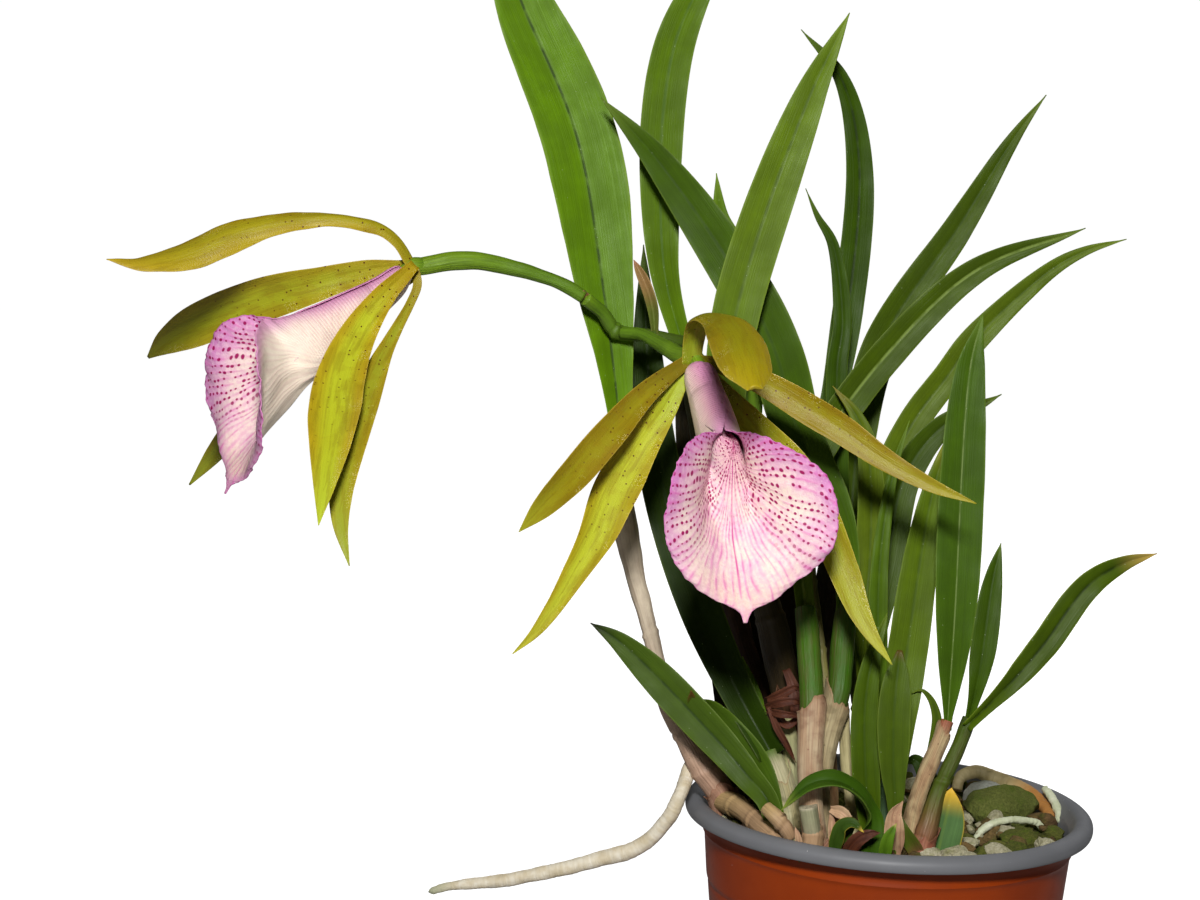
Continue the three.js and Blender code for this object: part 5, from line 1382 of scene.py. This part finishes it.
# Half a lip in rows from its foot to its front edge: each row is a curve by four handles, from the
# middle out to the margin, given by how far they are forward, up and aside of the flower's centre
LIP_ROWS = [
    [(0, -4, 0), (0, -4, 3.2), (1.6, -0.6, 3.2), (1.6, -0.6, 0.6)],
    [(2.2, -8, 0), (2.2, -8, 5.6), (4.2, -0.2, 5.6), (4.2, -0.2, 0.6)],
    [(7, -13, 0), (7, -13, 6.2), (11, -3.7, 6.2), (11, -3.7, 0.6)],
    [(14, -20, 0), (14, -20, 6.8), (21, -8.2, 6.8), (21, -8.2, 0.6)],
    [(20, -26, 0), (20, -26, 7.6), (30, -12.3, 7), (30, -12.3, 0.6)],
    [(26, -31, 0), (27, -30, 8.4), (37, -15.5, 6.5), (38, -15.8, 0.7)],
    [(31, -36, 0), (32.5, -34, 8.5), (41, -20, 4), (45, -15.5, 7)],
    [(35, -40.5, 0), (37, -38, 9), (45, -26, 8), (50, -18.5, 14.5)],
    [(39, -44.5, 0), (41, -42.5, 10), (49, -32, 13), (53, -25, 21)],
    [(43, -49, 0), (44.5, -47.5, 10), (51.5, -39, 17), (53.5, -33, 23.8)],
    [(46.5, -53, 0), (47.5, -52, 10), (52, -46.5, 18.5), (53, -42, 24)],
    [(49.5, -57, 0), (50, -56.3, 8.5), (51.5, -53, 15.5), (51, -50, 20)],
    [(52, -60.8, 0), (52, -60.7, 2.8), (51.9, -60.3, 5.6), (51.4, -59.6, 8.2)],
    [(53, -62.7, 0), (53, -62.7, 0.7), (53, -62.6, 1.3), (52.9, -62.4, 1.9)],
    [(54.2, -65.3, 0), (54.2, -65.3, 0.05), (54.2, -65.3, 0.1), (54.2, -65.3, 0.15)],
]
# How far the lip's two halves lean to one side, row by row
LIP_LEAN = [0, 0, 0, -0.5, -1.5, -3, -4.4, -2.8, 0.3, 1.2, 1.4, 1.3, 1, 0.8, 0.8]
LIP_SHEET = 0.55
FOLD_END = -18.5


def throat_floor(up, aside):
    """How far forward the raised floor of the throat stands, seen from the front."""
    heights = [-52, -46, -40, -33, -26, -20, -17.2, -15.7, -15, -14.5]
    crest = np.interp(up, heights, [44, 41.4, 39.5, 38.2, 37.6, 37.5, 37.4, 36.8, 20, -60])
    middle = np.interp(up, [-44, -28, -16], [0, -1, -2.4])
    wide = np.interp(up, [-48, -40, -33, -25, -20, -16], [9, 8.6, 7.4, 6, 4.6, 3.4])
    off = np.abs((aside - middle) / wide)
    return crest - 2.2 * off ** 4 - 26 * np.clip(off - 1, 0, None)


def raised(flower, points, t):
    """The lip's inner face, with its floor raised so that it fills the throat up to the fold."""
    on_blade = clamp((t * (len(LIP_ROWS) - 1) - 2) / 0.8)[:, None]
    centre, forward, right = flower_ways(flower)
    own = points - centre
    rise = throat_floor(own[..., 2], own @ right) - own @ forward
    return points + forward * (0.5 * on_blade * (rise + np.sqrt(rise * rise + 1)))[..., None]


def lip_skin(flower, seed, rows=150, across=121):
    """A lip from its rows of handles, with its veins, keels, ruffle and toothed edge worked in."""
    t = np.linspace(0, 1, rows + 1)
    q = np.linspace(-1, 1, across)
    q = np.sign(q) * np.abs(q) ** 0.92
    at = t * (len(LIP_ROWS) - 1)
    handles = [catmull([row[k] for row in LIP_ROWS], at) for k in range(4)]
    a = np.abs(q)[None, :, None]
    weights = ((1 - a) ** 3, 3 * a * (1 - a) ** 2, 3 * a * a * (1 - a), a ** 3)
    own = sum(w * h[:, None] for w, h in zip(weights, handles))
    own[..., 2] *= np.sign(q)[None, :]
    own[..., 2] += np.interp(at, range(len(LIP_ROWS)), LIP_LEAN)[:, None] * q[None, :] ** 2
    lap = (clamp((0.34 - t) / 0.07) * np.clip(t / 0.16, 0.12, 1))[:, None]
    lap = lap * clamp((np.abs(q) - 0.6) / 0.4)[None, :]
    own[..., 2] += lap * np.where(q > 0, 0.4, 2.4)[None, :]
    own[..., 1] += lap * np.where(q > 0, -0.66, 0.06)[None, :]
    place = in_flower(flower, own[..., 0], own[..., 1], own[..., 2])
    normal = unit(np.cross(np.gradient(place, axis=0), np.gradient(place, axis=1)))
    inner = raised(flower, place, t)

    middle = across // 2
    over = unit(np.gradient(inner, axis=1))
    step = np.linalg.norm(np.diff(inner, axis=1), axis=2)
    run = np.concatenate([np.zeros((rows + 1, 1)), np.cumsum(step, axis=1)], axis=1)
    x = run - run[:, middle:middle + 1]
    edge = np.minimum(run, run[:, -1:] - run)
    down = run_along(inner[:, middle])
    y = (down - np.interp(-FOLD_END, -own[:, middle, 1], down))[:, None] + 0 * x
    reach = np.hypot(x, y)
    angle = np.arctan2(x, np.where(y > 0, np.abs(y) ** 1.3 * 0.41, y))
    label = angle / (0.5 + 0.5 * clamp(reach / 42) ** 0.8)

    draw = np.random.default_rng(seed)
    phase = draw.uniform(0, 6.3, 12)
    blade_part = clamp((t - 0.3) / 0.12)[:, None] * clamp((0.97 - t) / 0.12)[:, None]
    ruffle = np.zeros_like(x)
    teeth = np.zeros_like(x)
    for column, pick, shift in ((0, q < 0, phase[6:]), (-1, q >= 0, phase[:6])):
        s = run_along(place[:, column])[:, None]
        wave = 0.5 * np.sin(2 * math.pi * s / 11 + shift[0]) + 0.5 * np.sin(2 * math.pi * s / 5.3 + shift[1])
        wave = wave + 0.4 * np.sin(2 * math.pi * s / 2.3 + shift[2])
        tooth = np.abs(np.sin(math.pi * s / 1.5 + shift[3])) + 0.4 * np.sin(2 * math.pi * s / 3.7 + shift[4])
        ruffle = np.where(pick[None, :], wave, ruffle)
        teeth = np.where(pick[None, :], tooth, teeth)
    ruffle = 0.4 * ruffle * np.exp(-edge / 3.5) * blade_part
    pleats = 0.16 * np.cos(label * 26) * clamp(reach / 14) * blade_part
    keels = 0.4 * np.exp(-((np.abs(x) - 1.4) / 0.6) ** 2) * np.exp(-((y - 6) / 8) ** 2)
    swell = 0.5 * waves(grid(x, y, 0.0), 17, seed + 1) * blade_part * clamp(reach / 12)
    toothed = over * (np.sign(q) * 0.3 * (teeth - 0.6) * np.exp(-edge / 1.1) * blade_part)[..., None]
    place = place + toothed + normal * (ruffle + pleats + keels + swell)[..., None]
    thick = LIP_SHEET * (1 - 0.55 * np.exp(-edge / 1.2))
    top = raised(flower, place + normal * (thick / 2)[..., None], t)
    bottom = place - normal * (thick / 2)[..., None]
    fan = grid(label, reach, edge)
    shares = [grid(q, t[:, None], side) for side in (1.0, -1.0)]
    return sheet_mesh(top, bottom, fan, fan, *shares)


def dot_rows_group():
    """Dots in rows along fanned veins: the dots, and a soft line along each vein."""
    inputs = {"Label": "Float", "Reach": "Float", "Veins": "Float", "Step": "Float", "Radius": "Float"}
    group, given, out = new_group(
        "rows of dots", inputs, {"Dots": "Float", "Lines": "Float", "Off": "Float"}
    )
    spot = add_node(group, "ShaderNodeCombineXYZ", {0: given["Label"] * 5.0, 1: given["Reach"] * 0.07})[0]
    wander = add_node(group, "ShaderNodeTexNoise", {"Vector": spot, "Scale": 1.0, "Detail": 1.0})[0]
    shaken = given["Label"] + scaled(wander, 0.12, -0.06)
    u = shaken * given["Veins"]
    vein = calc("ROUND", u)
    aside = u - vein
    spread = ease(given["Reach"], 0.0, 42.0, 0.5, 1.0)
    gap = given["Reach"] * spread / given["Veins"]
    own = add_node(group, "ShaderNodeTexWhiteNoise", {"W": vein}, noise_dimensions="1D")["Value"]
    v = given["Reach"] / given["Step"] + own * 7.0
    cell = calc("FLOOR", v)
    pair = add_node(group, "ShaderNodeCombineXYZ", {0: vein, 1: cell})[0]
    draw = add_node(group, "ShaderNodeTexWhiteNoise", {"Vector": pair}, noise_dimensions="2D")
    draws = add_node(group, "ShaderNodeSeparateColor", {0: draw["Color"]})
    centre = scaled(draws[0], 0.4, 0.3)
    ahead = (v - cell - centre) * given["Step"]
    off = scaled(draws[2], 0.3, aside - 0.15) * gap
    ahead = ahead * 0.75
    far = calc("SQRT", scaled(off, off, ahead * ahead))
    radius = given["Radius"] * scaled(draws[1], 0.8, 0.55)
    dots = ease(far, radius, radius * 0.6)
    held = calc("GREATER_THAN", draws[1], 0.15)
    lead(dots * held, out["Dots"])
    lead(ease(abs(aside), 0.36, 0.04), out["Lines"])
    lead(abs(aside) * gap, out["Off"])
    return group


dot_nodes = dot_rows_group()


def dot_rows(*values):
    return placed(dot_nodes, *values)


def lip_finish(name, back_pink, band, least_wash):
    """Lip skin: cream, magenta toward the margin, dotted inside, and finely wrinkled outside."""
    material, tree, shader = new_finish(name, 0.5, 0.3)
    _, (label, reach, edge) = marks_of(tree, "lie")
    _, (q, t, face) = marks_of(tree, "share")
    place = surface_place(tree)
    inside = ease(face, -0.3, 0.3)
    sideways = abs(label)
    near = dot_rows(label, reach, 4.0, 1.7, 0.27)
    between = dot_rows(label, reach, 8.0, 1.5, 0.32)
    far = dot_rows(label, reach, 22.0, 1.6, 0.37)
    streaks = dot_rows(label, reach, 22.0, 8.0, 2.2)
    first = ease(reach, 8.5, 10.5)
    second = ease(reach, 18.0, 21.0)

    def by_reach(key):
        nearer = near[key] * (1.0 - first) + between[key] * first
        return nearer * (1.0 - second) + far[key] * second

    dots, lines, off = by_reach("Dots"), by_reach("Lines"), by_reach("Off")
    lower = ease(sideways, 0.5, 0.25) * ease(reach, 20.0, 28.0)
    centre = ease(sideways, 0.45, 0.2) * ease(reach, 8.0, 14.0)
    fewer = calc("MAXIMUM", lower * 1.2, centre) * 0.8
    dots = dots * (1.0 - fewer)
    clouds = patches(place, 6.0)
    fine = patches(place, 0.5)

    cream = tint(clouds, (242, 222, 206), (236, 196, 206))
    peach = (240, 206, 190)
    base = tint(ease(sideways, 0.5, 0.0) * ease(reach, 34.0, 46.0), cream, peach)
    wash = ease(edge, band, 0.5) * ease(sideways, 0.15, 0.8, least_wash, 1.0)
    base = tint(wash * 0.8, base, (208, 112, 190))
    base = tint(ease(reach, 16.0, 2.0) * 0.42, base, (226, 150, 168))
    mottled = patches(place, 1.1)
    base = tint(ease(mottled, 0.5, 0.75) * 0.16, base, (214, 120, 184))
    base = tint(ease(mottled, 0.42, 0.2) * 0.2, base, (250, 228, 226))
    flush = lines * scaled(clouds, 0.4, 0.08)
    base = tint(flush, base, (226, 110, 184))
    thin = ease(streaks["Off"], 0.3, 0.06) * streaks["Dots"]
    shown = ease(reach, 12.0, 22.0) * ease(lower, 0.0, 1.0, 0.24, 0.36)
    long_marks = thin * shown
    base = tint(long_marks, base, (212, 72, 160))
    hairs = ease(off, 0.24, 0.06) * ease(reach, 24.0, 6.0)
    base = tint(hairs * (ease(sideways, 0.9, 0.4) * 0.6), base, (206, 66, 128))
    middle = ease(sideways * reach, 0.42, 0.15) * ease(reach, 44.0, 36.0)
    base = tint(middle * 0.7, base, (204, 54, 140))
    base = tint(dots, base, (158, 8, 88))
    rim = ease(edge, 0.7, 0.1)
    base = tint(rim * 0.5, base, (200, 80, 170))

    away = abs(q)
    pink = ease(away, 0.5, 0.9) * ease(t, 0.34, 0.26)
    back = tint(clouds, (250, 236, 216), (240, 222, 204))
    back = tint(pink * back_pink, back, (222, 160, 176))
    back = tint(ease(edge, 7.0, 0.5, 0.0, 0.8), back, (214, 130, 190))
    back = tint(lines * 0.12, back, (216, 140, 160))
    early = ease(t, 0.16, 0.1) * ease(q, -0.5, -0.7)
    red = specks(place, 1.3, 0.4, 0.3)
    back = tint(early * red, back, (128, 20, 48))
    spot = add_node(tree, "ShaderNodeCombineXYZ", {0: t * 46.0, 1: q})[0]
    sockets = {"Vector": spot, "Scale": 1.0, "Distortion": 2.5, "Detail": 2.0}
    wrinkles = add_node(tree, "ShaderNodeTexWave", sockets)["Fac"]
    tube = ease(t, 0.42, 0.3)
    back = tint(wrinkles * tube * 0.3, back, (206, 130, 150))
    colour = tint(inside, back, base)
    relief = lines * 0.5 + fine * 0.4
    relief = relief + wrinkles * tube * 1.2
    feed(shader, colour, scaled(fine, 0.2, 0.42), relief, 0.14, 0.8)
    return material


lip_1_finish = lip_finish("lip of flower 1", 0.85, 9.0, 0.25)
lip_2_finish = lip_finish("lip of flower 2", 0.4, 15.0, 0.8)
show("flower 1 lip", lip_skin(FLOWER_1, 41), lip_1_finish, "flower_lip", "flower_1_lip")
show("flower 2 lip", lip_skin(FLOWER_2, 43), lip_2_finish, "flower_lip", "flower_2_lip")

# Studio: a pale floor, a key lamp above the camera, a broad lamp behind that leaves no glints, and a
# weak one at the left. Dim even surroundings show white to the camera, which stands where the
# photographer's did, a little above the flowers and tipped down.
FLOOR_RADIUS = 3000
CAMERA_PLACE = (-91.5, -763.5, 292)
CAMERA_PITCH = 7.27
CAMERA_ROLL = 2.61
PHOTO_WIDTH = 1200
FOCAL_PIXELS = 2600
SENSOR = 36.0

turn = full_turn(96)
floor_rings = grid(FLOOR_RADIUS * np.cos(turn), FLOOR_RADIUS * np.sin(turn), np.array([[-4.0], [-0.05]]))
floor = placed_object("floor", skin_mesh("floor", tube_mesh(floor_rings)))
floor_paint, floor_tree, floor_shader = new_finish("floor paint", 0.9, 0.1)
floor_shader.inputs["Base Color"].default_value = (0.3, 0.3, 0.3, 1)
seen = add_node(floor_tree, "ShaderNodeLightPath")["Is Camera Ray"]
glow = add_node(floor_tree, "ShaderNodeEmission", {"Color": (1, 1, 1, 1), "Strength": seen * 1.0})[0]
both = add_node(floor_tree, "ShaderNodeAddShader", {0: Value(floor_shader.outputs[0]), 1: glow})[0]
lead(both, floor_tree.nodes["Material Output"].inputs["Surface"])
floor.data.materials.append(floor_paint)


def stood(thing, place, right, up, back):
    """Stands a lamp or camera at a place in millimetres, turned to three directions of its own."""
    rows = [[right[i], up[i], back[i], place[i] * MM] for i in range(3)]
    thing.matrix_world = Matrix([*rows, [0, 0, 0, 1]])


def soft_lamp(name, place, aim, watts, size, gleams=True):
    light = bpy.data.lights.new(name, "AREA")
    light.shape = "DISK"
    light.size = size * MM
    light.energy = watts
    lamp = placed_object(name, light)
    lamp.visible_glossy = gleams
    back = unit(np.array(place, float) - np.array(aim, float))
    right = unit(np.cross([0, 0, 1], back))
    stood(lamp, place, right, np.cross(back, right), back)


soft_lamp("key lamp", (-110, -800, 590), (-60, -20, 190), 8.6, 130)
soft_lamp("back lamp", (500, 900, 620), (-60, 0, 180), 9.0, 700, gleams=False)
soft_lamp("left lamp", (-900, 250, 700), (-60, 0, 180), 0.8, 700)

world = bpy.data.worlds.new("studio")
world.use_nodes = True
bpy.context.scene.world = world
room = world.node_tree
room_light = room.nodes["Background"]
room_light.inputs["Color"].default_value = (1, 1, 1, 1)
direct = add_node(room, "ShaderNodeLightPath")["Is Camera Ray"]
lead(scaled(direct, 1.0, 0.02), room_light.inputs["Strength"])

pitch, roll = math.radians(CAMERA_PITCH), math.radians(CAMERA_ROLL)
level_right = np.array([1.0, 0, 0])
level_up = np.array([0, math.sin(pitch), math.cos(pitch)])
ahead = np.array([0, math.cos(pitch), -math.sin(pitch)])
camera_right = math.cos(roll) * level_right + math.sin(roll) * level_up
camera_up = math.cos(roll) * level_up - math.sin(roll) * level_right
lens = bpy.data.cameras.new("camera")
lens.sensor_width = SENSOR
lens.lens = SENSOR * FOCAL_PIXELS / PHOTO_WIDTH
camera = placed_object("camera", lens)
stood(camera, CAMERA_PLACE, camera_right, camera_up, -ahead)
bpy.context.scene.camera = camera
bpy.context.scene.view_settings.view_transform = "Standard"
